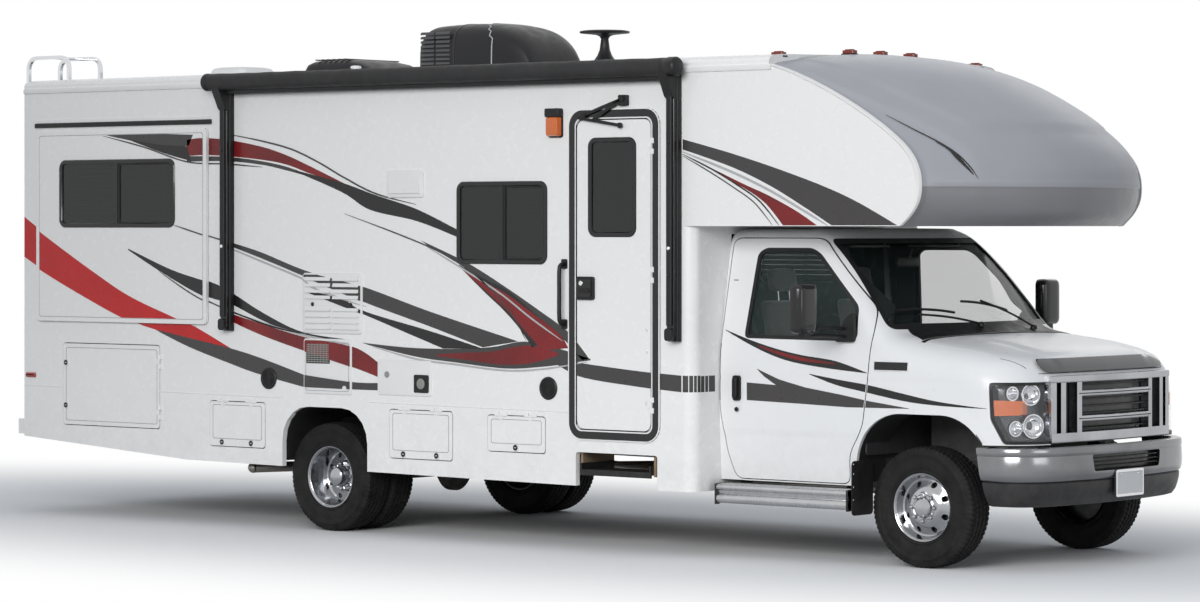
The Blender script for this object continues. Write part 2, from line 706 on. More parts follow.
ARCH = (-0.48, 0.48, 0.0, 0.940)
ARCH_R = 0.33
section_z = np.array([p[1] for p in SECTION])
section_y = np.array([p[0] for p in SECTION])
profile_x = np.array([p[0] for p in PROFILE])
profile_z = np.array([p[1] for p in PROFILE])
plan_pts = np.array(PLAN)


def smooth_step(v, low, high):
    t = np.clip((v - low) / (high - low), 0, 1)
    return t * t * (3 - 2 * t)


def smooth_max(a, b, k):
    h = np.maximum(k - np.abs(a - b), 0) / k
    return np.maximum(a, b) + h * h * k / 4


def plan_gap(x, y):
    """Signed distance outside the cab's outline from above."""
    a, b = plan_pts[:-1], plan_pts[1:]
    best = np.full(x.shape, 1e9)
    sign = np.ones(x.shape)
    for (ax, ay), (bx, by) in zip(a, b):
        dx, dy = bx - ax, by - ay
        t = np.clip(((x - ax) * dx + (y - ay) * dy) / (dx * dx + dy * dy), 0, 1)
        ex, ey = x - ax - t * dx, y - ay - t * dy
        d = np.hypot(ex, ey)
        closer = d < best
        best = np.where(closer, d, best)
        sign = np.where(closer, np.sign(dx * ey - dy * ex), sign)
    return best * sign


def arch_gap(x, z):
    """Distance outside the wheel arch's outline, seen from the side."""
    cx, cz = (ARCH[0] + ARCH[1]) / 2, (ARCH[2] + ARCH[3]) / 2
    qx = np.abs(x - cx) - (ARCH[1] - cx - ARCH_R)
    qz = np.abs(z - cz) - (ARCH[3] - cz - ARCH_R)
    return np.hypot(np.maximum(qx, 0), np.maximum(qz, 0)) + np.minimum(np.maximum(qx, qz), 0) \
        - ARCH_R


def cab_field(x, y, z):
    """Negative inside the cab's body, positive outside; x is from the front axle."""
    y = np.abs(y)
    half = np.interp(z, section_z, section_y)
    half = half - 0.0045 * np.exp(-((z - 1.135) / 0.010) ** 2) * (x > -1.9)
    half = half - 0.008 * smooth_step(z, 0.805, 0.775)
    half = half + 0.016 * smooth_step(arch_gap(x, z), 0.075, 0.012) - 0.004
    side = y - half
    lean = 0.19 - 0.16 * smooth_step(x, -0.1, 0.3)
    xs = x + lean * y * y
    height = np.interp(xs, profile_x, profile_z)
    height = height + 0.013 * smooth_step(y, 0.56, 0.47) * smooth_step(x, -0.08, 0.10) \
        * smooth_step(x, 0.74, 0.60)
    height = height - 0.035 * smooth_step(y, 0.55, 1.0) * smooth_step(x, -0.2, 0.2)
    slope = (np.interp(xs + 0.01, profile_x, profile_z)
             - np.interp(xs - 0.01, profile_x, profile_z)) / 0.02
    top = (z - height) / np.sqrt(1 + slope * slope)
    round_k = 0.11 + 0.09 * smooth_step(x, -0.35, -0.05)
    body = smooth_max(side, plan_gap(x, y), 0.04)
    return smooth_max(body, top, round_k)


TURN = 112
THETA = np.radians(np.linspace(-118, 118, 2 * TURN + 1))
STATIONS = np.concatenate([np.arange(-1.555, 0.10, 0.0165), [0.10]])
CENTRE_X, CENTRE_Z = 0.10, 0.92
PHI = np.radians(np.linspace(0, 89, 62))[1:]


def cab_grid():
    """Outer points and their normals, from the cab's back edge to the pole at its nose."""
    starts, ways = [], []
    for x in STATIONS:
        for t in THETA:
            starts.append((x, 0, CENTRE_Z))
            ways.append((0, -math.sin(t), math.cos(t)))
    for p in PHI:
        for t in THETA:
            starts.append((CENTRE_X, 0, CENTRE_Z))
            ways.append((math.sin(p), -math.sin(t) * math.cos(p), math.cos(t) * math.cos(p)))
    starts, ways = np.array(starts), np.array(ways)
    low, high = np.zeros(len(starts)), np.full(len(starts), 2.4)
    for _ in range(34):
        mid = (low + high) / 2
        p = starts + ways * mid[:, None]
        out = cab_field(p[:, 0], p[:, 1], p[:, 2]) > 0
        high = np.where(out, mid, high)
        low = np.where(out, low, mid)
    p = starts + ways * high[:, None]
    h = 0.004
    grad = np.column_stack([
        cab_field(p[:, 0] + h, p[:, 1], p[:, 2]) - cab_field(p[:, 0] - h, p[:, 1], p[:, 2]),
        cab_field(p[:, 0], p[:, 1] + h, p[:, 2]) - cab_field(p[:, 0], p[:, 1] - h, p[:, 2]),
        cab_field(p[:, 0], p[:, 1], p[:, 2] + h) - cab_field(p[:, 0], p[:, 1], p[:, 2] - h)])
    grad /= np.linalg.norm(grad, axis=1)[:, None]
    return p, grad


cab_out, cab_normal = cab_grid()
RINGS, ACROSS = len(STATIONS) + len(PHI), len(THETA)


def cab_shell_object(inner, outer=0.0):
    """A closed shell between two depths under the skin, as a plain object to carve."""
    layers = []
    for depth in (outer, inner):
        p = cab_out - cab_normal * depth
        p[:, 0] += AXLE_F
        layers.append(p)
    tip = [layers[k][(RINGS - 1) * ACROSS:].mean(0) + (0.004, 0, 0) for k in (0, 1)]
    n = RINGS * ACROSS
    verts = np.vstack([layers[0], layers[1], tip])
    faces = []
    for i in range(RINGS - 1):
        for j in range(ACROSS - 1):
            a, b = i * ACROSS + j, i * ACROSS + j + 1
            c, d = b + ACROSS, a + ACROSS
            faces += [(a, d, c, b), (n + a, n + b, n + c, n + d)]
    last = (RINGS - 1) * ACROSS
    for j in range(ACROSS - 1):
        a, b = last + j, last + j + 1
        faces += [(a, 2 * n, b), (n + a, n + b, 2 * n + 1)]
        faces.append((j, j + 1, n + j + 1, n + j))
    for j in (0, ACROSS - 1):
        for i in range(RINGS - 1):
            a, d = i * ACROSS + j, (i + 1) * ACROSS + j
            faces.append((a, d, n + d, n + a) if j else (a, n + a, n + d, d))
        a = last + j
        faces.append((a, 2 * n, 2 * n + 1, n + a) if j else (a, n + a, 2 * n + 1, 2 * n))
    return plain_object(verts, faces)


def plain_object(verts, faces):
    mesh = bpy.data.meshes.new("carved")
    mesh.from_pydata([tuple(v) for v in verts], [], [tuple(f) for f in faces])
    bm = bmesh.new()
    bm.from_mesh(mesh)
    bmesh.ops.recalc_face_normals(bm, faces=bm.faces)
    bm.to_mesh(mesh)
    bm.free()
    o = bpy.data.objects.new("carved", mesh)
    bpy.context.scene.collection.objects.link(o)
    return o


def prism_object(outline, axis, a, b):
    s = Shape().prism(outline, axis, a, b, "white")
    return plain_object(s.verts, s.faces)


def carve(base, *steps):
    """The base mesh cut by (operation, outline, axis, from, to) prisms, as a new object."""
    o = bpy.data.objects.new("carved", base.data.copy())
    bpy.context.scene.collection.objects.link(o)
    cutters = []
    for operation, outline, axis, a, b in steps:
        cutter = prism_object(outline, axis, a, b)
        cutters.append(cutter)
        m = o.modifiers.new("cut", "BOOLEAN")
        m.object, m.operation, m.solver = cutter, operation, "MANIFOLD"
    bpy.context.view_layer.update()
    graph = bpy.context.evaluated_depsgraph_get()
    mesh = bpy.data.meshes.new_from_object(o.evaluated_get(graph))
    drop(o, *cutters)
    done = bpy.data.objects.new("carved", mesh)
    bpy.context.scene.collection.objects.link(done)
    return done


def settle_carved(o, name, mat, body, replaces=(), angle=38):
    mesh = o.data
    mesh.materials.clear()
    mesh.materials.append(M[mat])
    bm = bmesh.new()
    bm.from_mesh(mesh)
    bmesh.ops.remove_doubles(bm, verts=bm.verts, dist=0.0002)
    bmesh.ops.dissolve_degenerate(bm, edges=bm.edges, dist=0.0002)
    for e in bm.edges:
        e.smooth = len(e.link_faces) == 2 and e.calc_face_angle(0) < math.radians(angle)
    for f in bm.faces:
        f.smooth, f.material_index = True, 0
    if mat == "cab":
        mesh.materials.append(M["lining"])
        faces = list(bm.faces)
        centre = np.array([f.calc_center_median() for f in faces])
        depth = cab_field(centre[:, 0] - AXLE_F, centre[:, 1], centre[:, 2])
        for f, d in zip(faces, depth):
            f.material_index = 1 if d < -0.014 and f.calc_area() > 1e-7 else 0
    bm.to_mesh(mesh)
    bm.free()
    o.name, mesh.name = name, name
    settle(o, body, replaces)


def carve_sides(shell, near, steps, name, mat, body, nodes=(), sides=SIDES):
    """Carves a shell once a side, from near the middle outward.

    {} in a name stands for right or left, and a node without it goes with the right piece.
    A step is (operation, outline), and a third number lengthens its prism both ways.
    """
    for side, word in sides:
        y0, y1 = sorted((side * near, side * FAR))
        cuts = [(operation, outline, "y", y0 - sum(more), y1 + sum(more))
                for operation, outline, *more in steps]
        settle_carved(carve(shell, *cuts), name.format(word), mat, body.format(word),
                      [n.format(word) for n in nodes if "{}" in n or word == "right"])


def drop(*shells):
    for shell in shells:
        bpy.data.objects.remove(shell)


def grown(outline, g):
    """The closed outline moved outward by g."""
    pts = [Vector(p) for p in outline]
    area = sum(a.x * b.y - b.x * a.y for a, b in zip(pts, pts[1:] + pts[:1]))
    sign = 1 if area > 0 else -1
    out = []
    for i, p in enumerate(pts):
        a, b = (p - pts[i - 1]).normalized(), (pts[(i + 1) % len(pts)] - p).normalized()
        na, nb = Vector((a.y, -a.x)) * sign, Vector((b.y, -b.x)) * sign
        n = (na + nb)
        out.append(tuple(p + n * (g / max(n.length_squared / 2, 0.3))))
    return out


DOOR = from_axle(round_corners([(-1.541, 0.93), (-1.541, 1.40), (-1.520, 2.012), (-0.842, 2.012),
                                (-0.400, 1.575), (-0.374, 1.45), (-0.398, 1.15), (-0.440, 0.84),
                                (-0.540, 0.68), (-0.540, 0.495), (-1.420, 0.495),
                                (-1.480, 0.64)], 0.055))
PANE = from_axle(round_corners([(-1.362, 1.385), (-1.318, 1.915), (-1.262, 1.950),
                                (-0.900, 1.950), (-0.832, 1.915), (-0.505, 1.59),
                                (-0.492, 1.40), (-0.55, 1.380)], 0.035))
BONNET = [(AXLE_F + x, y) for x, y in
          [(-0.078, -HC + 0.140), (0.48, -HC + 0.160), (0.62, -HC + 0.235), (0.70, -HC + 0.345),
           (0.90, -HC + 0.345), (0.90, HC - 0.345), (0.70, HC - 0.345), (0.62, HC - 0.235),
           (0.48, HC - 0.160), (-0.078, HC - 0.140)]]
LAMP = from_axle(round_corners([(0.482, 1.145), (0.492, 0.925), (0.565, 0.775), (0.92, 0.775),
                                (0.92, 1.145)], 0.02))
SCREEN = round_corners([(-0.890, 1.452), (0.890, 1.452), (0.868, 1.60), (0.800, 2.012),
                        (-0.800, 2.012), (-0.868, 1.60)], 0.05)
ARCH_LINE = from_axle(rounded_rect(ARCH[0], ARCH[1], -0.3, ARCH[3], ARCH_R, 14))
SCREEN_DEPTH = (AXLE_F - 0.95, AXLE_F)
GRILLE_HALF = 0.682


def box_line(a0, a1, b0, b1):
    return [(a0, b0), (a1, b0), (a1, b1), (a0, b1)]


skin = cab_shell_object(0.024)
body = carve(
    skin,
    ("DIFFERENCE", box_line(1.5, FACE + 0.001, 0, 3), "y", -FAR, FAR),
    ("DIFFERENCE", box_line(FACE, AXLE_F - 0.40, 0, 0.482), "y", -FAR, FAR),
    ("DIFFERENCE", box_line(AXLE_F - 0.41, 6, 0, 0.500), "y", -FAR, FAR),
    ("DIFFERENCE", box_line(AXLE_F + 0.30, 6, 0, 0.768), "y", -FAR, FAR),
    ("DIFFERENCE", ARCH_LINE, "y", -FAR, FAR),
    ("DIFFERENCE", grown(DOOR, 0.006), "y", -FAR, -0.5),
    ("DIFFERENCE", grown(DOOR, 0.006), "y", 0.5, FAR),
    ("DIFFERENCE", grown(BONNET, 0.004), "z", 1.195, 2.0),
    ("DIFFERENCE", grown(LAMP, 0.002), "y", -FAR, -GRILLE_HALF + 0.01),
    ("DIFFERENCE", grown(LAMP, 0.002), "y", GRILLE_HALF - 0.01, FAR),
    ("DIFFERENCE", box_line(-GRILLE_HALF, GRILLE_HALF, 0.5, 1.175), "x", AXLE_F + 0.5, 5),
    ("DIFFERENCE", grown(SCREEN, 0.001), "x", *SCREEN_DEPTH),
)
settle_carved(body, "cab_body", "cab", "coach", ["cab_shell", "fenders"])
# The hood's rear edge stands forward of its hinge line, so that it clears the cowl as it lifts.
LID = [(max(x, AXLE_F - 0.054), y) for x, y in BONNET]
bonnet = carve(skin, ("INTERSECT", LID, "z", 1.199, 2.0))
settle_carved(bonnet, "hood_skin", "cab", "hood", ["hood"])
door_skin = cab_shell_object(0.050)
carve_sides(door_skin, 0.5, [("INTERSECT", DOOR), ("DIFFERENCE", grown(PANE, 0.004))],
            "cab_door_{}_skin", "cab", "cab_door_{}", ["cab_door_{}"])

# Glass: the windscreen, the door panes, and the black rubber round each.
pane_skin = cab_shell_object(0.017, 0.012)
carve_sides(pane_skin, 0.5, [("INTERSECT", PANE)], "cab_pane_{}", "screen_side", "cab_door_{}",
            ["cab_glass_{}"])
screen = carve(pane_skin, ("INTERSECT", SCREEN, "x", *SCREEN_DEPTH))
settle_carved(screen, "windscreen_pane", "screen", "coach", ["windshield"])
seal_skin = cab_shell_object(0.022, 0.002)
carve_sides(seal_skin, 0.5, [("INTERSECT", grown(PANE, 0.005)),
                             ("DIFFERENCE", grown(PANE, -0.020))],
            "cab_pane_seal_{}", "black", "cab_door_{}")
rim_skin = cab_shell_object(0.022, 0.004)
rim = carve(rim_skin, ("INTERSECT", grown(SCREEN, 0.002), "x", *SCREEN_DEPTH),
            ("DIFFERENCE", grown(SCREEN, -0.032), "x", *SCREEN_DEPTH))
settle_carved(rim, "windscreen_seal", "black", "coach")
lens_skin = cab_shell_object(0.007, 0.002)
carve_sides(lens_skin, GRILLE_HALF + 0.012, [("INTERSECT", grown(LAMP, -0.003))],
            "headlight_lens_{}", "lens", "coach", ["headlights"])
drop(skin, door_skin, pane_skin, seal_skin, rim_skin, lens_skin)


# ---------------------------------------------------------------- cab fittings
BODY_OF_DOOR = ("cab_door_right", "cab_door_left")
BOTH = ("coach", "coach")


def edge_of_cab(low, high, point):
    """The value between low and high where the point leaves the cab's body."""
    for _ in range(30):
        mid = (low + high) / 2
        if cab_field(*(np.array([v]) for v in point(mid)))[0] > 0:
            high = mid
        else:
            low = mid
    return low, high


def on_skin(x, y, out=0.0):
    """The point of the cab's upper skin over (x from the front axle, y)."""
    high = edge_of_cab(0.95, 2.3, lambda z: (x, y, z))[1]
    return Vector((AXLE_F + x, y, high + out))


def front_skin(y, z):
    """The x of the cab's nose at (y, z)."""
    return edge_of_cab(AXLE_F + 0.2, AXLE_F + 1.0, lambda x: (x - AXLE_F, y, z))[0]


def bar(shape, section, y0, y1, mat, bend=0.10, n=14):
    """A bar across the front: its (x, z) section runs along y and follows the nose's bow."""
    rings = []
    for i in range(n + 1):
        y = y0 + (y1 - y0) * i / n
        rings.append([(x - bend * y * y, y, z) for x, z in section])
    shape.rings(rings, mat)


def slab(x0, x1, z0, z1, r=0.006):
    return rounded_rect(x0, x1, z0, z1, r, 3)


grille = Shape()
GX = AXLE_F + 0.792
for z0, z1, lip in ((1.140, 1.182, 0.006), (1.052, 1.088, 0.0), (0.898, 0.934, 0.0),
                    (0.772, 0.835, 0.004)):
    wide = 0.682 if lip else 0.415
    bar(grille, slab(GX - 0.060, GX - 0.004 + lip, z0, z1, 0.009), -wide, wide, "bright")
for z in (1.0705, 0.9165):
    bar(grille, slab(GX - 0.020, GX + 0.0025, z - 0.003, z + 0.003, 0.002), -0.41, 0.41, "black")
for side in (-1, 1):
    for y0, y1 in ((0.388, 0.436), (0.545, 0.592), (0.634, 0.684)):
        a, b = sorted((side * y0, side * y1))
        bar(grille, slab(GX - 0.060, GX - 0.003, 0.80, 1.160, 0.010), a, b, "bright", n=3)
for k in range(7):
    z = 0.85 + k * 0.045
    bar(grille, slab(GX - 0.052, GX - 0.034, z, z + 0.009, 0.002), -0.40, 0.40, "black")
bar(grille, slab(GX - 0.075, GX - 0.066, 0.79, 1.15, 0.002), -0.66, 0.66, "dark")
grille.make("grille_bars", "coach", "chrome", ["grille"], angle=30)

# Headlights: a dark bucket, two reflector bowls with bulbs, and the amber marker.
bucket_skin = cab_shell_object(0.095, 0.075)
carve_sides(bucket_skin, GRILLE_HALF + 0.004, [("INTERSECT", grown(LAMP, 0.015))],
            "headlight_bucket_{}", "bucket", "coach")
edge_skin = cab_shell_object(0.055, 0.001)
LAMP_IN = from_axle(round_corners([(0.499, 1.128), (0.509, 0.932), (0.577, 0.792), (0.93, 0.792),
                                   (0.93, 1.128)], 0.012))
carve_sides(edge_skin, GRILLE_HALF + 0.006, [("INTERSECT", grown(LAMP, -0.001)),
                                             ("DIFFERENCE", LAMP_IN, 0.1)],
            "headlight_bezel_{}", "black", "coach")
amber_skin = cab_shell_object(0.050, 0.010)
marker = from_axle(round_corners([(0.500, 0.945), (0.645, 0.950), (0.645, 1.035), (0.500, 1.040)],
                                 0.012))
carve_sides(amber_skin, 0.80, [("INTERSECT", marker)], "marker_lens_{}", "amber", "coach")
drop(bucket_skin, edge_skin, amber_skin)
lamps = Shape()
for y, z, r in ((-0.775, 1.072, 0.058), (-0.770, 0.882, 0.066), (-0.872, 1.080, 0.036),
                (-0.862, 0.868, 0.040)):
    at, way = (front_skin(y - 0.02, z) - 0.072, y + 0.012, z), (0.90, -0.42, 0)
    lamps.lathe([(0.0, 0.0), (0.0, 0.006), (0.004, r * 0.42), (0.018, r * 0.74),
                 (0.040, r * 0.96), (0.052, r), (0.052, r + 0.008), (0.030, r + 0.008),
                 (-0.008, r * 0.5), (-0.008, 0.0)], at, way, "chrome", 28)
    lamps.lathe([(0.002, 0), (0.004, 0.011), (0.026, 0.011), (0.036, 0.007), (0.038, 0)],
                at, way, "lens", 14)
make_pair(lamps, "headlight_bowls", BOTH, "lamp_lens")


BUMPER = smooth_line([(0.365, 0.962), (0.50, 0.958), (0.60, 0.945), (0.690, 0.900),
                      (0.760, 0.815), (0.806, 0.700), (0.838, 0.520), (0.862, 0.300),
                      (0.874, 0.0)], 5)
plan = [(x, -y) for x, y in BUMPER] + [(x, y) for x, y in BUMPER[::-1][1:]]


def bumper_skin(section, thick):
    """The bumper's shell: its (outward, z) section swept along the plan, with a back face."""
    closed = section + [(o - thick, z) for o, z in section[::-1]]
    rings = []
    for i, (x, y) in enumerate(plan):
        a, b = plan[max(i - 1, 0)], plan[min(i + 1, len(plan) - 1)]
        run = Vector((b[0] - a[0], b[1] - a[1])).normalized()
        nx, ny = run.y, -run.x
        rings.append([(AXLE_F + x + nx * o, y + ny * o, z) for o, z in closed])
    return Shape().rings(rings, "chrome")


upper = bumper_skin([(-0.050, 0.752), (-0.022, 0.756), (-0.006, 0.750), (-0.001, 0.738),
                     (0.000, 0.712), (-0.004, 0.700), (-0.001, 0.690), (0.001, 0.640),
                     (0.000, 0.585), (-0.006, 0.560), (-0.018, 0.545), (-0.030, 0.540)], 0.016)
chrome = plain_object(upper.verts, upper.faces)
intake = round_corners([(-0.375, 0.598), (0.375, 0.598), (0.395, 0.700), (-0.395, 0.700)], 0.02)
slant = [(AXLE_F + 0.20, 0.30), (AXLE_F + 0.455, 0.30), (AXLE_F + 0.372, 0.80),
         (AXLE_F + 0.20, 0.80)]
cut_chrome = carve(chrome, ("DIFFERENCE", intake, "x", AXLE_F + 0.6, 5.0),
                   ("DIFFERENCE", slant, "y", -FAR, FAR))
settle_carved(cut_chrome, "bumper_chrome", "chrome_dull", "coach", ["front_bumper"],
              angle=30)
lower = bumper_skin([(-0.026, 0.545), (-0.016, 0.536), (-0.018, 0.505), (-0.026, 0.470),
                     (-0.040, 0.430), (-0.062, 0.400), (-0.090, 0.392)], 0.016)
valance = plain_object(lower.verts, lower.faces)
cut_valance = carve(valance, ("DIFFERENCE", slant, "y", -FAR, FAR))
settle_carved(cut_valance, "bumper_valance", "valance", "coach", angle=30)
drop(chrome, valance)
front = Shape()
bar(front, slab(AXLE_F + 0.818, AXLE_F + 0.826, 0.57, 0.72, 0.002), -0.41, 0.41, "dark", 0.14)
for z in (0.625, 0.650, 0.675):
    bar(front, slab(AXLE_F + 0.836, AXLE_F + 0.858, z - 0.003, z + 0.003, 0.002), -0.39, 0.39,
        "black", 0.14)
# Plate holder with a blank plate.
PX = AXLE_F + 0.8705
front.prism(rounded_rect(-0.165, 0.165, 0.425, 0.600, 0.012), "x", PX - 0.006, PX, "black")
front.frame(rounded_rect(-0.160, 0.160, 0.430, 0.596, 0.012),
            rounded_rect(-0.146, 0.146, 0.446, 0.580, 0.006), "x", PX, PX + 0.007, "chrome")
front.prism(rounded_rect(-0.147, 0.147, 0.445, 0.581, 0.006), "x", PX, PX + 0.003, "plate")
for y in (-0.10, 0.10):
    front.lathe(stud(0.006, 0.002, 0.004, 0.003),
                (PX + 0.003, y, 0.566), (1, 0, 0), "chrome", 12)
front.make("bumper_front_parts", "coach", "black_trim", angle=30)

# Smoked shield over the hood's front edge, standing off it on small feet.
shield_skin = cab_shell_object(-0.018, -0.022)
shield_line = round_corners([(-0.66, 1.205), (0.66, 1.205), (0.70, 1.235), (0.68, 1.285),
                             (-0.68, 1.285), (-0.70, 1.235)], 0.03)
shield = carve(shield_skin, ("INTERSECT", shield_line, "x", AXLE_F + 0.50, 5.0))
settle_carved(shield, "hood_shield", "smoke", "hood")
drop(shield_skin)
feet = Shape()
for y in (-0.55, -0.2, 0.2, 0.55):
    at = on_skin(0.655, y)
    feet.box((at.x - 0.010, y - 0.012, at.z - 0.004), (at.x + 0.010, y + 0.012, at.z + 0.020),
             "black", 0.004)
feet.make("hood_shield_feet", "hood", "black_trim")

# Stripes of the cab: films that follow the skin, parted at the door's edge.
film_skin = cab_shell_object(-0.0004, -0.0012)
over_skin = cab_shell_object(-0.0013, -0.0019)
CAB_STRIPES = [
    ("dark", False, [(-1.52, 1.432), (-1.32, 1.372), (-1.10, 1.318), (-0.90, 1.283),
                     (-0.64, 1.252), (-0.40, 1.185)],
     [(-1.52, 1.428), (-1.30, 1.335), (-1.08, 1.262), (-0.90, 1.228), (-0.67, 1.203),
      (-0.40, 1.182)]),
    ("maroon", True, [(-1.26, 1.342), (-1.06, 1.298), (-0.90, 1.270), (-0.64, 1.238)],
     [(-1.22, 1.322), (-1.04, 1.272), (-0.88, 1.245), (-0.64, 1.232)]),
    ("grey", False, [(-1.25, 1.190), (-1.08, 1.128), (-0.87, 1.082), (-0.60, 1.045),
                     (-0.38, 1.010), (-0.08, 0.975)],
     [(-1.25, 1.188), (-1.19, 1.140), (-1.10, 1.091), (-1.33, 1.102), (-1.33, 0.990),
      (-0.90, 0.979), (-0.55, 0.968), (-0.08, 0.973)]),
    ("dark", False, [(-0.84, 1.168), (-0.60, 1.135), (-0.38, 1.108), (-0.12, 1.062),
                     (0.13, 1.022), (0.47, 0.990)],
     [(-0.84, 1.164), (-0.64, 1.105), (-0.43, 1.068), (-0.12, 1.018), (0.13, 0.998),
      (0.47, 0.988)]),
]
for k, (mat, over, top, bottom) in enumerate(CAB_STRIPES):
    if mat == "grey":
        outline = from_axle(top + bottom[::-1])
    else:
        outline = from_axle(swoosh(top, bottom, 6))
    source = over_skin if over else film_skin
    reaches_fender = max(x for x, _ in top) > -0.3
    for side in SIDES:
        carve_sides(source, 0.6, [("INTERSECT", outline), ("INTERSECT", grown(DOOR, -0.004))],
                    f"stripe_{k}_door_{{}}", mat, "cab_door_{}", sides=[side])
        if reaches_fender:
            carve_sides(source, 0.6, [("INTERSECT", outline), ("DIFFERENCE", grown(DOOR, 0.010))],
                        f"stripe_{k}_fender_{{}}", mat, "coach", sides=[side])
drop(film_skin, over_skin)

# Badge plates, left blank, and the black cowl under the windscreen.
for grow, proud, mat, word in ((0.0, 0.005, "chrome", "rim"), (-0.007, 0.0062, "dark", "face")):
    badge_skin = cab_shell_object(0.001, -proud)
    outline = grown(from_axle(rounded_rect(-0.350, -0.090, 1.198, 1.262, 0.010)), grow)
    carve_sides(badge_skin, 0.7, [("INTERSECT", outline)], f"badge_{word}_{{}}", mat, "coach")
    drop(badge_skin)
cowl_skin = cab_shell_object(0.004, -0.0015)
cowl_line = [(AXLE_F + x, y) for x, y in
             ((-0.260, -0.76), (-0.086, -0.845), (-0.086, 0.845), (-0.260, 0.76),
              (-0.200, 0.55), (-0.172, 0.25), (-0.168, 0), (-0.172, -0.25), (-0.200, -0.55))]
cowl = carve(cowl_skin, ("INTERSECT", cowl_line, "z", 1.1, 1.6))
settle_carved(cowl, "cowl_panel", "black", "coach")
drop(cowl_skin)
wipers = Shape()
for pivot, tip, blade in (((-0.150, -0.10), (-0.275, -0.62), ((-0.235, -0.28), (-0.345, -0.76))),
                          ((-0.150, 0.50), (-0.265, 0.06), ((-0.245, 0.33), (-0.280, -0.14)))):
    start, end = on_skin(*pivot, 0.020), on_skin(*tip, 0.030)
    wipers.lathe([(0, 0), (0, 0.022), (0.018, 0.020), (0.026, 0.012), (0.026, 0)],
                 start - Vector((0, 0, 0.014)), (0.3, 0, 1), "black", 18)
    wipers.tube([start.lerp(end, t / 8) + Vector((0, 0, 0.012 * math.sin(math.pi * t / 8)))
                 for t in range(9)], 0.007, "black", 8)
    line = [on_skin(blade[0][0] + (blade[1][0] - blade[0][0]) * t / 12,
                    blade[0][1] + (blade[1][1] - blade[0][1]) * t / 12, 0.014)
            for t in range(13)]
    wipers.tube(line, 0.008, "black", 8)
wipers.make("wipers", "coach", "black_trim")

# Door handles, keyholes and the fixed quarter bar of each door window.
handle = Shape()
hx, hy = AXLE_F - 1.405, -HC - 0.001
handle.box((hx - 0.030, hy - 0.002, 0.985), (hx + 0.030, hy + 0.012, 1.145), "black", 0.018)
handle.boss((hx - 0.020, hx + 0.016, 1.000, 1.130), 0.012, "y",
            ((0.0, hy - 0.002), (0.0, hy - 0.020), (0.006, hy - 0.026)), "black")
handle.lathe([(0, 0), (0, 0.015), (0.004, 0.014), (0.005, 0)], (hx, hy + 0.002, 0.930),
             (0, -1, 0), "black", 18)
make_pair(handle, "door_handle", BODY_OF_DOOR, "black_trim")

# Tow mirrors: a deep rounded head with its glass behind, on two tubes and a door foot.
mirror = Shape()
mx, my, mz = AXLE_F - 0.60, -1.375, 1.585
rings = []
for t, s in ((-0.042, 0.90), (-0.040, 0.965), (-0.030, 0.99), (0.0, 1.0), (0.020, 0.965),
             (0.034, 0.87), (0.042, 0.70), (0.0445, 0.40)):
    rings.append([(mx + t, my + y * s, mz + z * (s * 0.5 + 0.5)) for y, z in
                  rounded_rect(-0.098, 0.098, -0.153, 0.153, 0.040, 6)])
mirror.rings(rings, "gloss_black")
for z0, z1 in ((-0.050, 0.138), (-0.138, -0.062)):
    mirror.rings([[(mx - d, my + y, mz + z) for y, z in
                   rounded_rect(-0.084 + g, 0.084 - g, z0 + g, z1 - g, 0.020)]
                  for g, d in ((0, 0.042), (0, 0.0445), (0.003, 0.0448))], "chrome")
foot = [(-0.640, 1.372), (-0.500, 1.372), (-0.492, 1.420), (-0.500, 1.560), (-0.560, 1.520)]
mirror.prism([(AXLE_F + x, z) for x, z in round_corners(foot, 0.02)], "y", -HC + 0.030,
             -HC + 0.002, "black")
for z, top in ((1.405, 1.47), (1.455, 1.52)):
    mirror.tube(smooth_line([(AXLE_F - 0.565, -HC + 0.020, z), (AXLE_F - 0.585, -1.10, z + 0.005),
                             (AXLE_F - 0.600, -1.22, z + 0.010), (mx, -1.335, z + 0.012),
                             (mx, -1.372, top + 0.02)], 6), 0.012, "black", 10)
mirror.box((mx - 0.022, -1.40, 1.395), (mx + 0.022, -1.345, 1.475), "black", 0.010)
make_pair(mirror, "mirror", BODY_OF_DOOR, "black_trim", ("mirror_right", "mirror_left"))

# Running boards with a ribbed top and rounded nose, their brackets and the mudflaps.
boards = Shape()
bx0, bx1 = FACE + 0.042, AXLE_F - 0.472
rolls = [(-HC - 0.0925 + 0.016 * (1 - math.cos(t)), 0.4395 + 0.020 * math.sin(t))
         for t in np.linspace(1.4, -1.3, 8)]
rolls += [(-HC - 0.0925 + 0.024 * (1 - math.cos(t)), 0.3680 + 0.030 * math.sin(t))
          for t in np.linspace(1.3, -1.5, 10)]
outline = [(-HC - 0.040, 0.4595)] + rolls + [(-HC - 0.050, 0.345), (-HC - 0.052, 0.425),
                                             (-HC + 0.115, 0.430), (-HC + 0.115, 0.452)]
boards.prism(outline, "x", bx0, bx1, "board_metal")
for k in range(9):
    y = -HC - 0.050 + k * 0.018
    boards.prism([(y, 0.452), (y + 0.008, 0.452), (y + 0.006, 0.4615), (y + 0.002, 0.4615)],
                 "x", bx0 + 0.01, bx1 - 0.01, "board_metal")
for x in (bx0, bx1 - 0.014):
    boards.prism([(y, z) for y, z in ((-HC + 0.118, 0.462), (-HC + 0.118, 0.400),
                                      (-HC - 0.060, 0.330), (-HC - 0.093, 0.330),
                                      (-HC - 0.093, 0.458), (-HC - 0.080, 0.4635))],
                 "x", x, x + 0.014, "black")
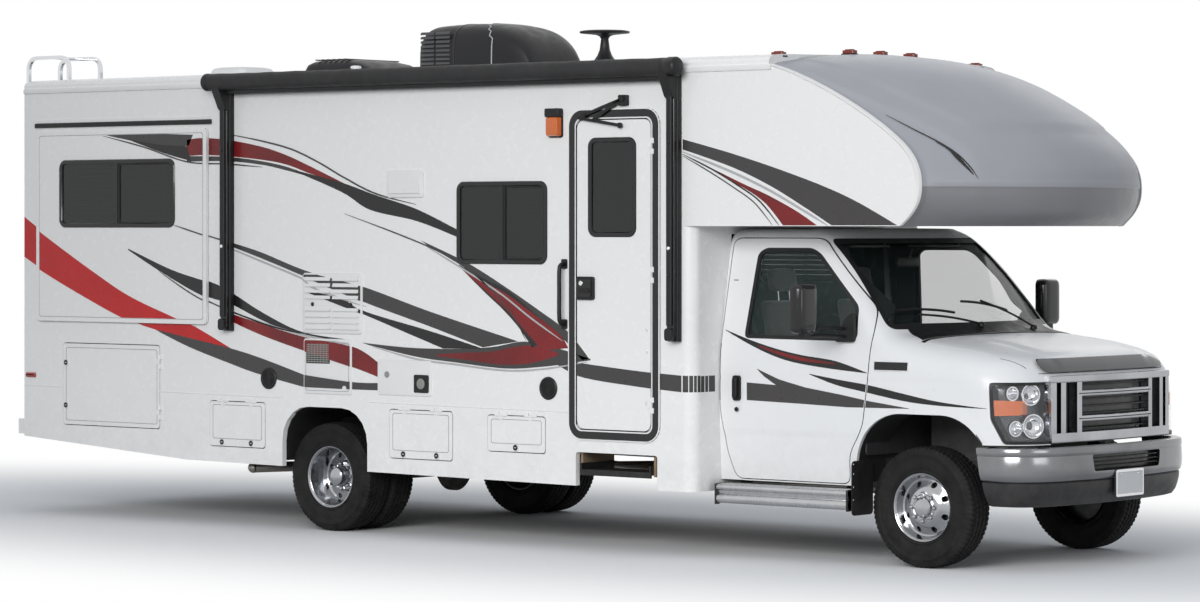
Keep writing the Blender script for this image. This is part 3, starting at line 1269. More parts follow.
for x in (FACE + 0.100, AXLE_F - 0.620):
    boards.prism([(-HC + 0.150, 0.430), (-HC + 0.150, 0.638), (-HC + 0.112, 0.638),
                  (-HC + 0.112, 0.470), (-HC + 0.02, 0.430)], "x", x, x + 0.060, "chassis")
flap = rounded_rect(-HC - 0.058, -HC + 0.168, 0.302, 0.640, 0.030)
boards.prism(flap, "x", AXLE_F - 0.470, AXLE_F - 0.463, "black")
for z in (0.40, 0.48, 0.56, 0.62):
    boards.lathe(stud(0.008, 0.004, 0.006, 0.004),
                 (AXLE_F - 0.463, -HC - 0.040, z), (1, 0, 0), "steel", 10)
make_pair(boards, "running_board", BOTH, "tread_plate", ["running_boards"], bevel=0.0015)

# Black liners inside the wheel arches of the cab and of the coach.
liner = Shape()


def arch_band(cx, half, top, r, low, front_low, grow):
    pts = rounded_rect(cx - half - grow, cx + half + grow, -0.3, top + grow, r + grow, 12)
    keep = [p for p in pts if p[1] > (front_low if p[0] > cx else low)]
    keep.sort(key=lambda p: math.atan2(p[1] - low, p[0] - cx))
    return [(keep[0][0], front_low)] + keep + [(keep[-1][0], low)]


for cx, half, top, r, low, front_low, y0, y1, g in (
        (AXLE_F, 0.48, 0.940, 0.33, 0.50, 0.77, -HC + 0.016, -HC + 0.330, 0.002),
        (AXLE_R, 0.40, 0.850, 0.24, 0.47, 0.47, -HALF_W + 0.042, -0.700, -0.001)):
    inner_band = arch_band(cx, half, top, r, low, front_low, g)
    outer_band = arch_band(cx, half, top, r, low, front_low, g + 0.006)
    n = len(inner_band)
    verts = np.vstack([place3(inner_band, "y", y) for y in (y0, y1)]
                      + [place3(outer_band, "y", y) for y in (y0, y1)])
    faces = []
    for i in range(n - 1):
        faces += [(i, i + 1, n + i + 1, n + i), (2 * n + i, 3 * n + i, 3 * n + i + 1,
                                                 2 * n + i + 1),
                  (i, 2 * n + i, 2 * n + i + 1, i + 1),
                  (n + i, n + i + 1, 3 * n + i + 1, 3 * n + i)]
    liner.add(verts, faces, "liner")
make_pair(liner, "wheelhouse_liner", BOTH, "black_trim")

# Rear-view mirror and sun visors inside the windscreen.
inside_parts = Shape()
at = Vector((AXLE_F - 0.80, 0.0, 1.86))
inside_parts.rings([[(at.x + d, y * s, at.z + z * s) for y, z in
                     rounded_rect(-0.125, 0.125, -0.032, 0.032, 0.028)]
                    for d, s in ((0, 0.96), (0.004, 1.0), (0.022, 0.98), (0.030, 0.7))], "black")
inside_parts.tube([at + Vector((0.02, 0, 0.02)), at + Vector((0.045, 0, 0.085))], 0.008, "black")
for y in (-0.40, 0.40):
    inside_parts.box((AXLE_F - 0.93, y - 0.19, 1.955), (AXLE_F - 0.78, y + 0.19, 1.970), "visor",
                     0.006)
inside_parts.make("cab_mirror_and_visors", "coach", "dash_plastic", bevel=0.002)


# ---------------------------------------------------------------- wheels
TYRE_R, RIM_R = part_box("tyre_front_right")[1].z / 2, 0.203
CUTS = 72


def tyre_profile():
    """(along, radius) round the section: beads, sidewalls with ribs, and grooved tread."""
    side = [(0.0865, RIM_R), (0.1055, RIM_R + 0.010), (0.1085, RIM_R + 0.022),
            (0.1050, RIM_R + 0.028), (0.1090, RIM_R + 0.036), (0.1112, RIM_R + 0.060),
            (0.1115, RIM_R + 0.085), (0.1100, RIM_R + 0.110), (0.1118, RIM_R + 0.113),
            (0.1118, RIM_R + 0.120), (0.1085, RIM_R + 0.124), (0.1040, TYRE_R - 0.028),
            (0.0985, TYRE_R - 0.014)]
    side = [(a, min(r, TYRE_R)) for a, r in side]
    tread = [(0.0920, TYRE_R - 0.005), (0.0700, TYRE_R - 0.001), (0.0640, TYRE_R - 0.0008),
             (0.0620, TYRE_R - 0.011), (0.0540, TYRE_R - 0.011), (0.0520, TYRE_R),
             (0.0260, TYRE_R), (0.0240, TYRE_R - 0.011), (0.0160, TYRE_R - 0.011),
             (0.0140, TYRE_R)]
    right = side + tread
    return right + [(-a, r) for a, r in right[::-1]]


TYRE = tyre_profile()


def tread_blocks(k, i):
    """Sipes across the shoulder and the ribs, staggered from rib to rib."""
    along, radius = TYRE[k]
    if radius < TYRE_R - 0.03:
        return 0.0
    shoulder = abs(along) > 0.060
    phase = (i + (2 if along > 0 else 0)) % 4
    if shoulder:
        return -0.006 if phase == 0 else 0.0
    return -0.005 if phase == 2 and radius > TYRE_R - 0.006 else 0.0


def wheel_tyre(shape, centre):
    shape.lathe(TYRE, centre, (0, 1, 0), "rubber", CUTS * 4, wobble=tread_blocks, loop=True)


def circle(cx, cz, r, n):
    return [(cx + r * math.cos(2 * math.pi * k / n), cz + r * math.sin(2 * math.pi * k / n))
            for k in range(n)]


def wheel_liner(name, centre, out, profile, holes, hole_r, hole_at, body, nodes):
    """A polished wheel cover turned from its profile, with round hand holes cut through."""
    s = Shape().lathe(profile, centre, (0, out, 0), "steel", 96, loop=True)
    raw = plain_object(s.verts, s.faces)
    steps = []
    for k in range(holes):
        a = 2 * math.pi * (k + 0.5) / holes
        steps.append(("DIFFERENCE", circle(centre.x + hole_at * math.cos(a),
                                           centre.z + hole_at * math.sin(a), hole_r, 20),
                      "y", centre.y - 0.25, centre.y + 0.25))
    settle_carved(carve(raw, *steps), name, "steel", body, nodes, angle=32)
    drop(raw)


def wheel_nuts(shape, centre, out, along, at, count, size):
    for k in range(count):
        a = 2 * math.pi * k / count
        place = centre + Vector((at * math.cos(a), 0, at * math.sin(a)))
        shape.lathe([(along - 0.010, 0), (along - 0.010, size * 1.25), (along + 0.004, size * 1.2),
                     (along + 0.006, size), (along + 0.026, size * 0.92),
                     (along + 0.032, size * 0.5), (along + 0.032, 0)], place, (0, out, 0),
                    "steel", 6)


FRONT_DISH = [(-0.088, 0.1905), (-0.094, 0.1995), (0.092, 0.1995), (0.0965, 0.2035),
              (0.0985, 0.2085), (0.0950, 0.2100), (0.0930, 0.2060), (0.0870, 0.1970),
              (0.060, 0.1880), (0.042, 0.1800), (0.036, 0.1700), (0.040, 0.1560),
              (0.062, 0.1280), (0.074, 0.1080), (0.078, 0.0960), (0.078, 0.0820),
              (0.074, 0.0760), (0.074, 0.0550), (0.066, 0.0550), (0.066, 0.0760),
              (0.060, 0.0960), (0.050, 0.1220), (0.030, 0.1540), (0.026, 0.1700),
              (0.030, 0.1860), (-0.080, 0.1905)]
REAR_DISH = [(-0.088, 0.1905), (-0.094, 0.1995), (0.094, 0.1995), (0.1000, 0.2035),
             (0.1015, 0.2090), (0.0980, 0.2100), (0.0950, 0.2050), (0.0890, 0.1960),
             (0.020, 0.1850), (-0.052, 0.1760), (-0.062, 0.1660), (-0.060, 0.1450),
             (-0.052, 0.1300), (-0.050, 0.1120), (-0.030, 0.0960), (-0.028, 0.0560),
             (-0.036, 0.0560), (-0.038, 0.0920), (-0.058, 0.1080), (-0.060, 0.1280),
             (-0.068, 0.1440), (-0.072, 0.1680), (-0.062, 0.1820), (-0.080, 0.1905)]

for side, name in SIDES:
    centre = Vector((AXLE_F, side * 0.8815, HUB_Z))
    rolling = Shape()
    wheel_tyre(rolling, centre)
    rolling.make(f"front_tyre_{name}", f"wheel_front_{name}", "tyre", [f"tyre_front_{name}"],
                 angle=38)
    wheel_liner(f"front_rim_{name}", centre, side, FRONT_DISH, 8, 0.0185, 0.1470,
                f"wheel_front_{name}", [f"rim_front_{name}"])
    hub = Shape()
    hub.lathe([(0.020, 0), (0.020, 0.088), (0.072, 0.086), (0.074, 0.070), (0.080, 0.062),
               (0.096, 0.058), (0.104, 0.050), (0.1075, 0.030), (0.1080, 0.0)], centre,
              (0, side, 0), "steel", 48)
    wheel_nuts(hub, centre, side, 0.074, 0.0845, 8, 0.0125)
    hub.lathe([(0.012, 0.0), (0.012, 0.185), (0.020, 0.185), (0.020, 0.0)], centre,
              (0, side, 0), "dark", 40)
    hub.make(f"front_hub_{name}", f"wheel_front_{name}", "rim_steel", angle=30)

    twin = Shape()
    for y in (0.864, 1.112):
        wheel_tyre(twin, Vector((AXLE_R, side * y, HUB_Z)))
    twin.make(f"rear_tyres_{name}", f"wheel_rear_{name}", "tyre", [f"tyre_rear_{name}"],
              angle=38)
    centre = Vector((AXLE_R, side * 1.112, HUB_Z))
    wheel_liner(f"rear_rim_{name}", centre, side, REAR_DISH, 8, 0.0180, 0.1500,
                f"wheel_rear_{name}", [f"rim_rear_{name}"])
    hub = Shape()
    hub.lathe([(-0.070, 0), (-0.070, 0.094), (-0.030, 0.092), (-0.026, 0.072),
               (0.030, 0.066), (0.048, 0.060), (0.058, 0.046), (0.062, 0.024),
               (0.0625, 0.0)], centre, (0, side, 0), "steel", 48)
    wheel_nuts(hub, centre, side, -0.030, 0.0845, 8, 0.0125)
    hub.lathe([(-0.080, 0.0), (-0.080, 0.180), (-0.074, 0.180), (-0.074, 0.0)], centre,
              (0, side, 0), "dark", 40)
    inner_y = side * 0.864
    hub.lathe([(-0.094, 0.1995), (0.092, 0.1995), (0.092, 0.190), (0.0, 0.182), (-0.094, 0.186)],
              Vector((AXLE_R, inner_y, HUB_Z)), (0, side, 0), "chassis", 48, loop=True)
    hub.lathe([(0.060, 0.0), (0.060, 0.190), (0.074, 0.190), (0.074, 0.0)],
              Vector((AXLE_R, inner_y, HUB_Z)), (0, side, 0), "chassis", 48)
    hub.make(f"rear_hub_{name}", f"wheel_rear_{name}", "rim_steel", angle=30)


# ---------------------------------------------------------------- inside the cab
inside_cab = Shape()
hw_floor = HC - 0.045
inside_cab.prism(rounded_rect(-hw_floor, hw_floor, 0.640, 0.668, 0.006), "x", FACE + 0.03,
                 AXLE_F - 0.50, "dash")
for k in range(9):
    y = -0.80 + k * 0.2
    inside_cab.prism(rounded_rect(y - 0.02, y + 0.02, 0.664, 0.672, 0.003), "x", FACE + 0.10,
                     AXLE_F - 0.62, "lining")
inside_cab.prism(round_corners([(-0.93, 0.670), (0.93, 0.670), (0.90, 1.30), (0.80, 1.385),
                                (-0.80, 1.385), (-0.90, 1.30)], 0.03), "x", AXLE_F - 0.462,
                 AXLE_F - 0.452, "dash")
cover = [(AXLE_F - 0.50, 0.670), (AXLE_F - 0.92, 0.670), (AXLE_F - 0.90, 0.93),
         (AXLE_F - 0.78, 1.02), (AXLE_F - 0.50, 1.04)]
inside_cab.prism(round_corners(cover, 0.04), "y", -0.19, 0.19, "dash")
inside_cab.make("cab_floor_and_cover", "coach", "dash_plastic", bevel=0.004)
belts = Shape()
for side in (-1, 1):
    post = Vector((FACE + 0.075, side * 0.895, 1.72))
    belts.box(post - Vector((0.02, 0.02, 0.03)), post + Vector((0.02, 0.01, 0.03)), "dash", 0.006)
    strap = [post, Vector((AXLE_F - 1.44, side * 0.72, 1.35)),
             Vector((AXLE_F - 1.43, side * 0.70, 0.95)), Vector((FACE + 0.09, side * 0.86, 0.70))]
    for a, b in zip(strap, strap[1:]):
        wide = Vector((0, 0.023, 0))
        thin = Vector((0.0012, 0, 0))
        belts.add([a - wide - thin, a + wide - thin, b + wide - thin, b - wide - thin,
                   a - wide + thin, a + wide + thin, b + wide + thin, b - wide + thin],
                  [(0, 1, 2, 3), (7, 6, 5, 4), (4, 5, 1, 0), (6, 7, 3, 2), (5, 6, 2, 1),
                   (7, 4, 0, 3)], "black")
belts.make("seat_belts", "coach", "black_trim")


PAD_VOXEL = 0.012
PAD_PRESSURE = 4.0
PAD_MOST_MOVE = 0.010
CLOTH_FRAMES = 20


def plump(o):
    """Remeshes a pad, swells it as stuffed cloth, and holds every point near its start."""
    bpy.context.view_layer.objects.active = o
    remesh = o.modifiers.new("remesh", "REMESH")
    remesh.mode = "VOXEL"
    remesh.voxel_size = PAD_VOXEL
    graph = bpy.context.evaluated_depsgraph_get()
    fine = bpy.data.meshes.new_from_object(o.evaluated_get(graph))
    o.modifiers.clear()
    old = o.data
    o.data = fine
    bpy.data.meshes.remove(old)
    start = np.array([v.co for v in fine.vertices])
    cloth = o.modifiers.new("cloth", "CLOTH")
    cloth.settings.use_pressure = True
    cloth.settings.uniform_pressure_force = PAD_PRESSURE
    cloth.settings.effector_weights.gravity = 0
    for frame_number in range(1, CLOTH_FRAMES + 1):
        bpy.context.scene.frame_set(frame_number)
    graph = bpy.context.evaluated_depsgraph_get()
    blown = bpy.data.meshes.new_from_object(o.evaluated_get(graph))
    co = np.array([v.co for v in blown.vertices])
    bpy.data.meshes.remove(blown)
    o.modifiers.clear()
    bpy.context.scene.frame_set(1)
    move = co - start
    size = np.linalg.norm(move, axis=1, keepdims=True)
    start = start + move * np.minimum(1, PAD_MOST_MOVE / np.maximum(size, 1e-9))
    fine.vertices.foreach_set("co", start.ravel())
    smooth = o.modifiers.new("smooth", "SUBSURF")
    smooth.levels = smooth.render_levels = 1
    graph = bpy.context.evaluated_depsgraph_get()
    last = bpy.data.meshes.new_from_object(o.evaluated_get(graph))
    o.modifiers.clear()
    o.data = last
    bpy.data.meshes.remove(fine)
    for p in last.polygons:
        p.use_smooth = True


def pad(name, outline, y0, y1, replaces=()):
    s = Shape().rings([place3(grown(outline, -g), "y", y) for g, y in
                       ((0.030, y0), (0.010, y0 + 0.012), (0.0, y0 + 0.035),
                        (0.0, y1 - 0.035), (0.010, y1 - 0.012), (0.030, y1))], "cloth")
    o = plain_object(s.verts, s.faces)
    o.data.materials.append(M["cloth"])
    plump(o)
    o.data.materials.clear()
    o.data.materials.append(M["cloth"])
    o.name, o.data.name = name, name
    settle(o, "coach", replaces)


SEAT_X = AXLE_F - 1.18
CUSHION = round_corners([(SEAT_X - 0.215, 0.915), (SEAT_X + 0.255, 0.915), (SEAT_X + 0.262, 0.985),
                         (SEAT_X + 0.235, 1.015), (SEAT_X - 0.215, 1.005)], 0.02)
BACKREST = round_corners([(SEAT_X - 0.232, 0.995), (SEAT_X - 0.125, 1.020),
                          (SEAT_X - 0.238, 1.620), (SEAT_X - 0.325, 1.620)], 0.025)
HEADREST = round_corners([(SEAT_X - 0.335, 1.675), (SEAT_X - 0.245, 1.675),
                          (SEAT_X - 0.270, 1.815), (SEAT_X - 0.345, 1.815)], 0.02)
frames = Shape()
for side, name in SIDES:
    y = side * 0.42
    pad(f"seat_cushion_{name}", CUSHION, y - 0.238, y + 0.238,
        ["cab_seats"] if name == "right" else ())
    pad(f"seat_back_{name}", BACKREST, y - 0.236, y + 0.236)
    pad(f"seat_headrest_{name}", HEADREST, y - 0.130, y + 0.130)
    frames.prism(round_corners([(SEAT_X - 0.18, 0.672), (SEAT_X + 0.16, 0.672),
                                (SEAT_X + 0.14, 0.905), (SEAT_X - 0.17, 0.905)], 0.02), "y",
                 y - 0.19, y + 0.19, "dash")
    for post in (-0.06, 0.06):
        frames.tube([(SEAT_X - 0.284, y + post, 1.60), (SEAT_X - 0.292, y + post, 1.70)], 0.006,
                    "chrome", 10)
    for rail in (-0.15, 0.15):
        frames.prism(rounded_rect(SEAT_X - 0.20, SEAT_X + 0.20, 0.668, 0.690, 0.004), "y",
                     y + rail - 0.02, y + rail + 0.02, "steel")
frames.make("seat_frames", "coach", "dash_plastic", bevel=0.003)


# ---------------------------------------------------------------- stripes of the coach
WALL = -HALF_W
SLIDE_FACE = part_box("slide_out")[0].y
SLIDE = (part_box("slide_out")[0].x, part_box("slide_out")[1].x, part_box("slide_out")[0].z,
         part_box("slide_out")[1].z)


FILM_STEP, FILM_RISE, FILM_THICK = 0.12, 0.0007, 0.0006


def decal(shape, outline, mat, y, layer, keep, holes=()):
    """A thin film on a wall, kept inside one outline and cut away inside others."""
    co, tris = fill(outline, keep, holes, FILM_STEP)
    if len(tris):
        place = y - FILM_RISE * (layer + 1)
        shape.panel(place3(co, "y", place), tris, mat, FILM_THICK, (0, 1, 0))


def ribbon(points, width):
    """The outline of a thin line along a smooth run of points, a quarter as wide at its ends."""
    line = [Vector(p) for p in smooth_line(points, 8)]
    left, right = [], []
    for i, p in enumerate(line):
        run = line[min(i + 1, len(line) - 1)] - line[max(i - 1, 0)]
        run.normalize()
        t = i / (len(line) - 1)
        w = width / 2 * (0.25 + 0.75 * min(1, 6 * t, 6 * (1 - t)))
        left.append(tuple(p + Vector((-run.y, run.x)) * w))
        right.append(tuple(p + Vector((run.y, -run.x)) * w))
    return left + right[::-1]


SWOOSHES = [
    ("red", 0, [(-7.79, 2.16), (-7.48, 1.99), (-6.98, 1.74), (-6.62, 1.58), (-6.06, 1.40),
                (-5.65, 1.235)],
     [(-7.79, 1.865), (-7.52, 1.74), (-7.11, 1.575), (-6.71, 1.43), (-6.36, 1.345),
      (-5.65, 1.235)]),
    ("grey", 1, [(-6.41, 1.355), (-6.06, 1.30), (-5.65, 1.235), (-5.34, 1.17), (-4.95, 1.07)],
     [(-6.36, 1.335), (-6.06, 1.235), (-5.70, 1.14), (-5.39, 1.065), (-4.95, 0.985)]),
    ("grey", 0, [(-4.95, 1.07), (-4.48, 1.03), (-4.25, 1.03)],
     [(-4.95, 0.985), (-4.48, 0.98), (-4.25, 0.98)]),
    ("grey", 0, [(-6.92, 2.755), (-6.62, 2.755), (-6.30, 2.745), (-6.0, 2.735)],
     [(-6.92, 2.75), (-6.61, 2.70), (-6.21, 2.655), (-6.04, 2.66)]),
    ("dark", 1, [(-6.66, 2.715), (-6.34, 2.67), (-6.06, 2.655)],
     [(-6.66, 2.71), (-6.30, 2.61), (-6.02, 2.55)]),
    ("maroon", 0, [(-6.06, 2.70), (-5.90, 2.71), (-5.65, 2.69), (-5.34, 2.64), (-5.11, 2.58),
                   (-4.88, 2.50), (-4.56, 2.38)],
     [(-6.06, 2.585), (-5.90, 2.59), (-5.68, 2.58), (-5.34, 2.55), (-5.11, 2.515),
      (-4.88, 2.45), (-4.56, 2.375)]),
    ("grey", 0, [(-6.06, 2.585), (-5.68, 2.575), (-5.34, 2.54), (-5.11, 2.50), (-4.94, 2.455)],
     [(-6.06, 2.545), (-5.68, 2.545), (-5.34, 2.515), (-5.11, 2.475), (-4.94, 2.44)]),
    ("dark", 1, [(-5.02, 2.475), (-4.58, 2.385), (-4.29, 2.305), (-3.90, 2.205), (-3.54, 2.07)],
     [(-5.02, 2.465), (-4.58, 2.32), (-4.32, 2.20), (-3.90, 2.125), (-3.54, 2.02)]),
    ("grey", 0, [(-5.69, 1.985), (-5.36, 1.91), (-4.91, 1.78), (-4.39, 1.68), (-3.78, 1.52),
                 (-3.0, 1.335)],
     [(-5.69, 1.96), (-5.33, 1.86), (-4.96, 1.75), (-4.36, 1.57), (-3.78, 1.42),
      (-3.31, 1.29)]),
    ("dark", 1, [(-4.90, 1.645), (-4.58, 1.60), (-4.36, 1.51), (-3.78, 1.39), (-3.30, 1.28)],
     [(-4.90, 1.635), (-4.63, 1.56), (-4.36, 1.485), (-4.01, 1.38), (-3.66, 1.275)]),
    ("dark", 0, [(-6.66, 1.93), (-6.21, 1.78), (-5.82, 1.69), (-5.63, 1.62), (-5.34, 1.49),
                 (-4.97, 1.365), (-4.55, 1.32)],
     [(-6.66, 1.92), (-6.31, 1.76), (-5.92, 1.605), (-5.65, 1.545), (-5.34, 1.435),
      (-4.99, 1.34), (-4.55, 1.31)]),
    ("maroon", 0, [(-5.70, 1.49), (-5.34, 1.41), (-4.95, 1.33), (-4.48, 1.27), (-4.25, 1.17)],
     [(-5.70, 1.44), (-5.34, 1.33), (-4.95, 1.235), (-4.48, 1.13), (-4.25, 1.07)]),
    ("grey", 0, [(-3.86, 1.995), (-3.44, 1.845), (-3.11, 1.69), (-2.82, 1.54), (-2.56, 1.395),
                 (-2.39, 1.235)],
     [(-3.80, 1.96), (-3.49, 1.825), (-3.15, 1.655), (-2.89, 1.505), (-2.62, 1.36),
      (-2.45, 1.225)]),
    ("dark", 1, [(-3.52, 1.835), (-3.26, 1.73), (-3.08, 1.66), (-2.86, 1.52), (-2.66, 1.38)],
     [(-3.52, 1.825), (-3.30, 1.66), (-3.13, 1.54), (-3.00, 1.43), (-2.88, 1.30)]),
    ("maroon", 2, [(-3.47, 1.80), (-3.28, 1.715), (-3.10, 1.645), (-2.89, 1.53), (-2.66, 1.40),
                   (-2.57, 1.30)],
     [(-3.47, 1.79), (-3.27, 1.655), (-3.09, 1.53), (-2.97, 1.43), (-2.87, 1.345),
      (-2.80, 1.28)]),
    ("grey", 0, [(-4.40, 1.30), (-3.97, 1.275), (-3.55, 1.275), (-3.22, 1.295),
                 (-2.95, 1.335), (-2.68, 1.30), (-2.38, 1.235)],
     [(-4.34, 1.285), (-3.90, 1.215), (-3.55, 1.185), (-3.11, 1.155), (-2.78, 1.175),
      (-2.54, 1.205), (-2.38, 1.225)]),
    ("maroon", 1, [(-3.72, 1.235), (-3.40, 1.255), (-3.22, 1.265), (-2.93, 1.31),
                   (-2.66, 1.27)],
     [(-3.72, 1.225), (-3.40, 1.20), (-3.15, 1.18), (-2.89, 1.195), (-2.66, 1.25)]),
    ("grey", 1, [(-2.69, 1.235), (-2.45, 1.205), (-1.98, 1.165), (-1.64, 1.145)],
     [(-2.69, 1.20), (-2.45, 1.115), (-1.98, 1.065), (-1.64, 1.04)]),
    ("grey", 0, [(-1.63, 2.64), (-1.24, 2.545), (-0.88, 2.445), (-0.53, 2.335), (-0.27, 2.235),
                 (0.02, 2.095)],
     [(-1.63, 2.575), (-1.24, 2.46), (-0.95, 2.345), (-0.71, 2.225), (-0.47, 2.095)]),
    ("maroon", 1, [(-1.40, 2.455), (-1.15, 2.355), (-0.95, 2.28), (-0.74, 2.185),
                   (-0.58, 2.095)],
     [(-1.40, 2.445), (-1.19, 2.35), (-1.05, 2.28), (-0.95, 2.21), (-0.84, 2.095)]),
]
LINES = [
    ("grey", 0.010, [(-6.92, 2.74), (-6.50, 2.655), (-6.06, 2.545), (-5.68, 2.525),
                     (-5.34, 2.50)]),
    ("grey", 0.012, [(-5.68, 2.735), (-5.34, 2.68), (-5.06, 2.62), (-4.81, 2.53), (-4.56, 2.42),
                     (-4.27, 2.31), (-3.9, 2.235)]),
    ("grey", 0.010, [(-6.20, 2.10), (-5.82, 2.01), (-5.65, 1.98)]),
    ("light", 0.014, [(-5.69, 1.945), (-5.33, 1.84), (-4.96, 1.73), (-4.82, 1.66),
                      (-4.36, 1.545)]),
    ("grey", 0.010, [(-6.34, 1.77), (-6.05, 1.63), (-5.82, 1.545), (-5.34, 1.415),
                     (-4.97, 1.35)]),
    ("light", 0.014, [(-5.70, 1.505), (-5.34, 1.42), (-4.97, 1.345), (-4.5, 1.285)]),
    ("grey", 0.010, [(-4.56, 2.175), (-4.11, 2.05), (-3.78, 1.95), (-3.51, 1.845),
                     (-3.26, 1.69), (-3.06, 1.52), (-2.93, 1.34)]),
    ("light", 0.012, [(-3.80, 1.95), (-3.49, 1.81), (-3.15, 1.645), (-2.89, 1.49),
                      (-2.62, 1.345)]),
    ("light", 0.012, [(-4.3, 1.275), (-3.9, 1.20), (-3.55, 1.172), (-3.11, 1.142),
                      (-2.78, 1.16), (-2.4, 1.215)]),
    ("light", 0.016, [(-1.63, 2.56), (-1.24, 2.43), (-0.95, 2.315), (-0.71, 2.20),
                      (-0.50, 2.095)]),
    ("dark", 0.010, [(-1.63, 2.545), (-1.40, 2.45), (-1.19, 2.345), (-1.02, 2.245),
                     (-0.87, 2.095)]),
    ("grey", 0.008, [(-1.63, 2.535), (-1.42, 2.435), (-1.22, 2.33), (-1.06, 2.235),
                     (-0.92, 2.095)]),
]
ENTRY_BOX = (SEAM - 0.935, SEAM - 0.180, 0.710, 2.845)
ENTRY_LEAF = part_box("entry_door")
LEAF_FACE = -HALF_W - 0.008
SIDE_PANE = (SEAM - 0.18 - 0.755 - 0.185 - 0.79, SEAM - 0.18 - 0.755 - 0.185, 1.84, 2.385)
SLIDE_PANE = tuple(v for k in (0, 2) for v in (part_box("slide_window")[0][k],
                                               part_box("slide_window")[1][k]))
FRIDGE = (AXLE_F - 4.95, AXLE_F - 4.39, 1.355, 1.77)
HEATER = (AXLE_F - 4.94, AXLE_F - 4.49, 0.94, 1.32)
UTILITY = (AXLE_F - 4.25, AXLE_F - 3.76, 0.95, 1.19)
UPPER_VENT = (AXLE_F - 4.16, AXLE_F - 3.83, 2.28, 2.47)
SPEAKERS = (AXLE_F - 5.28, AXLE_F - 2.74)
LEFT_PANE = (SEAM - 1.300, SEAM - 0.510, 1.69, 2.235)
BED_PANE = (BACK + 0.480, BACK + 1.270, 1.99, 2.445)
slide_edge = rounded_rect(SLIDE[0], SLIDE[1], SLIDE[2], SLIDE[3], 0.03)
slide_field = rounded_rect(SLIDE[0] + 0.035, SLIDE[1] - 0.035, SLIDE[2] + 0.035,
                           SLIDE[3] - 0.035, 0.02)
side_hole = rounded_rect(*SIDE_PANE, 0.06)
slide_hole = rounded_rect(*SLIDE_PANE, 0.06)
entry_edge = rounded_rect(*ENTRY_BOX, 0.11)
leaf_edge = rounded_rect(ENTRY_LEAF[0].x, ENTRY_LEAF[1].x, 0.783, 2.772, 0.054)
fittings = [rounded_rect(*b, 0.02) for b in (FRIDGE, HEATER, UTILITY, UPPER_VENT)]
seam_keep = [(BACK, 0), (SEAM, 0), (SEAM, CABOVER), (AXLE_F + 0.3, CABOVER),
             (AXLE_F + 0.3, 3.2), (BACK, 3.2)]

left_holes = [rounded_rect(*b, 0.06) for b in (LEFT_PANE, BED_PANE)]

wall_film, left_film, slide_film, leaf_film = Shape(), Shape(), Shape(), Shape()
films = [(mat, layer, from_axle(swoosh(top, bottom))) for mat, layer, top, bottom in SWOOSHES]
films += [(mat, 3, from_axle(ribbon(points, width))) for mat, width, points in LINES]
for mat, layer, outline in films:
    decal(wall_film, outline, mat, WALL, layer, seam_keep,
          [slide_edge, side_hole, entry_edge, *fittings])
    decal(left_film, outline, mat, WALL, layer, seam_keep, left_holes)
    decal(slide_film, outline, mat, SLIDE_FACE, layer, slide_field, [slide_hole])
    decal(leaf_film, outline, mat, LEAF_FACE, layer, leaf_edge)
for box_here, face in ((FRIDGE, WALL - 0.014), (HEATER, WALL - 0.012), (UTILITY, WALL - 0.010)):
    edge = rounded_rect(box_here[0] + 0.012, box_here[1] - 0.012, box_here[2] + 0.012,
                        box_here[3] - 0.012, 0.015)
    for mat, layer, outline in films:
        decal(wall_film, outline, mat, face, layer, edge)
wall_film.make("stripes_wall", "coach", "black_trim")
mirrored(left_film).make("stripes_wall_left", "coach", "black_trim")
slide_film.make("stripes_slide_out", "slide_out", "black_trim")
leaf_film.make("stripes_entry_door", "entry_door", "black_trim")


# ---------------------------------------------------------------- windows and the entry door
def rounded_frame(shape, b, r, width, y0, y1, mat, lip=0.006):
    """A window frame with a rounded face: three rings stepped back at both edges."""
    n = 7
    rings = []
    for g, y in ((0, y0), (0, y1 + lip), (lip, y1), (width - lip, y1), (width, y1 + lip),
                 (width, y0)):
        rings.append(place3(rounded_rect(*inset(b, g), max(r - g, 0.01), n), "y", y))
    rings.append(rings[0])
    shape.rings(rings, mat, caps=False)


def window(name, b, face, body, slot, node, slider=True, blinds=True, depth=0.030):
    """Black rounded frame, sliding panes with a bar between, and blinds behind the glass."""
    s = Shape()
    rounded_frame(s, b, 0.060, 0.032, face + 0.012, face - 0.009, "gloss_black")
    glass_box = inset(b, 0.030)
    outline = rounded_rect(*glass_box, 0.034)
    s.prism(outline, "y", face + 0.004, face + 0.008, "tint")
    if slider:
        x = (b[0] + b[1]) / 2
        s.box((x - 0.014, face - 0.005, b[2] + 0.028), (x + 0.014, face + 0.010, b[3] - 0.028),
              "gloss_black", 0.004)
        s.box((x + 0.014, face - 0.002, b[2] + 0.030), (x + 0.034, face + 0.010, b[3] - 0.030),
              "black", 0.003)
        rounded_frame(s, (x, b[1] - 0.030, b[2] + 0.030, b[3] - 0.030), 0.03, 0.012,
                      face + 0.008, face + 0.0005, "black", 0.002)
    if blinds:
        z = glass_box[2]
        while z < glass_box[3] - 0.02:
            s.prism([(face + depth - 0.010, z), (face + depth, z + 0.030),
                     (face + depth + 0.001, z + 0.030), (face + depth - 0.009, z)],
                    "x", glass_box[0], glass_box[1], "blind")
            s.prism([(face + depth - 0.012, z - 0.002), (face + depth - 0.006, z - 0.002),
                     (face + depth - 0.006, z + 0.001), (face + depth - 0.012, z + 0.001)],
                    "x", glass_box[0], glass_box[1], "slat")
            z += 0.034
    else:
        s.prism(outline, "y", face + depth - 0.012, face + depth - 0.009, "blind")
    s.make(name, body, slot, [node])


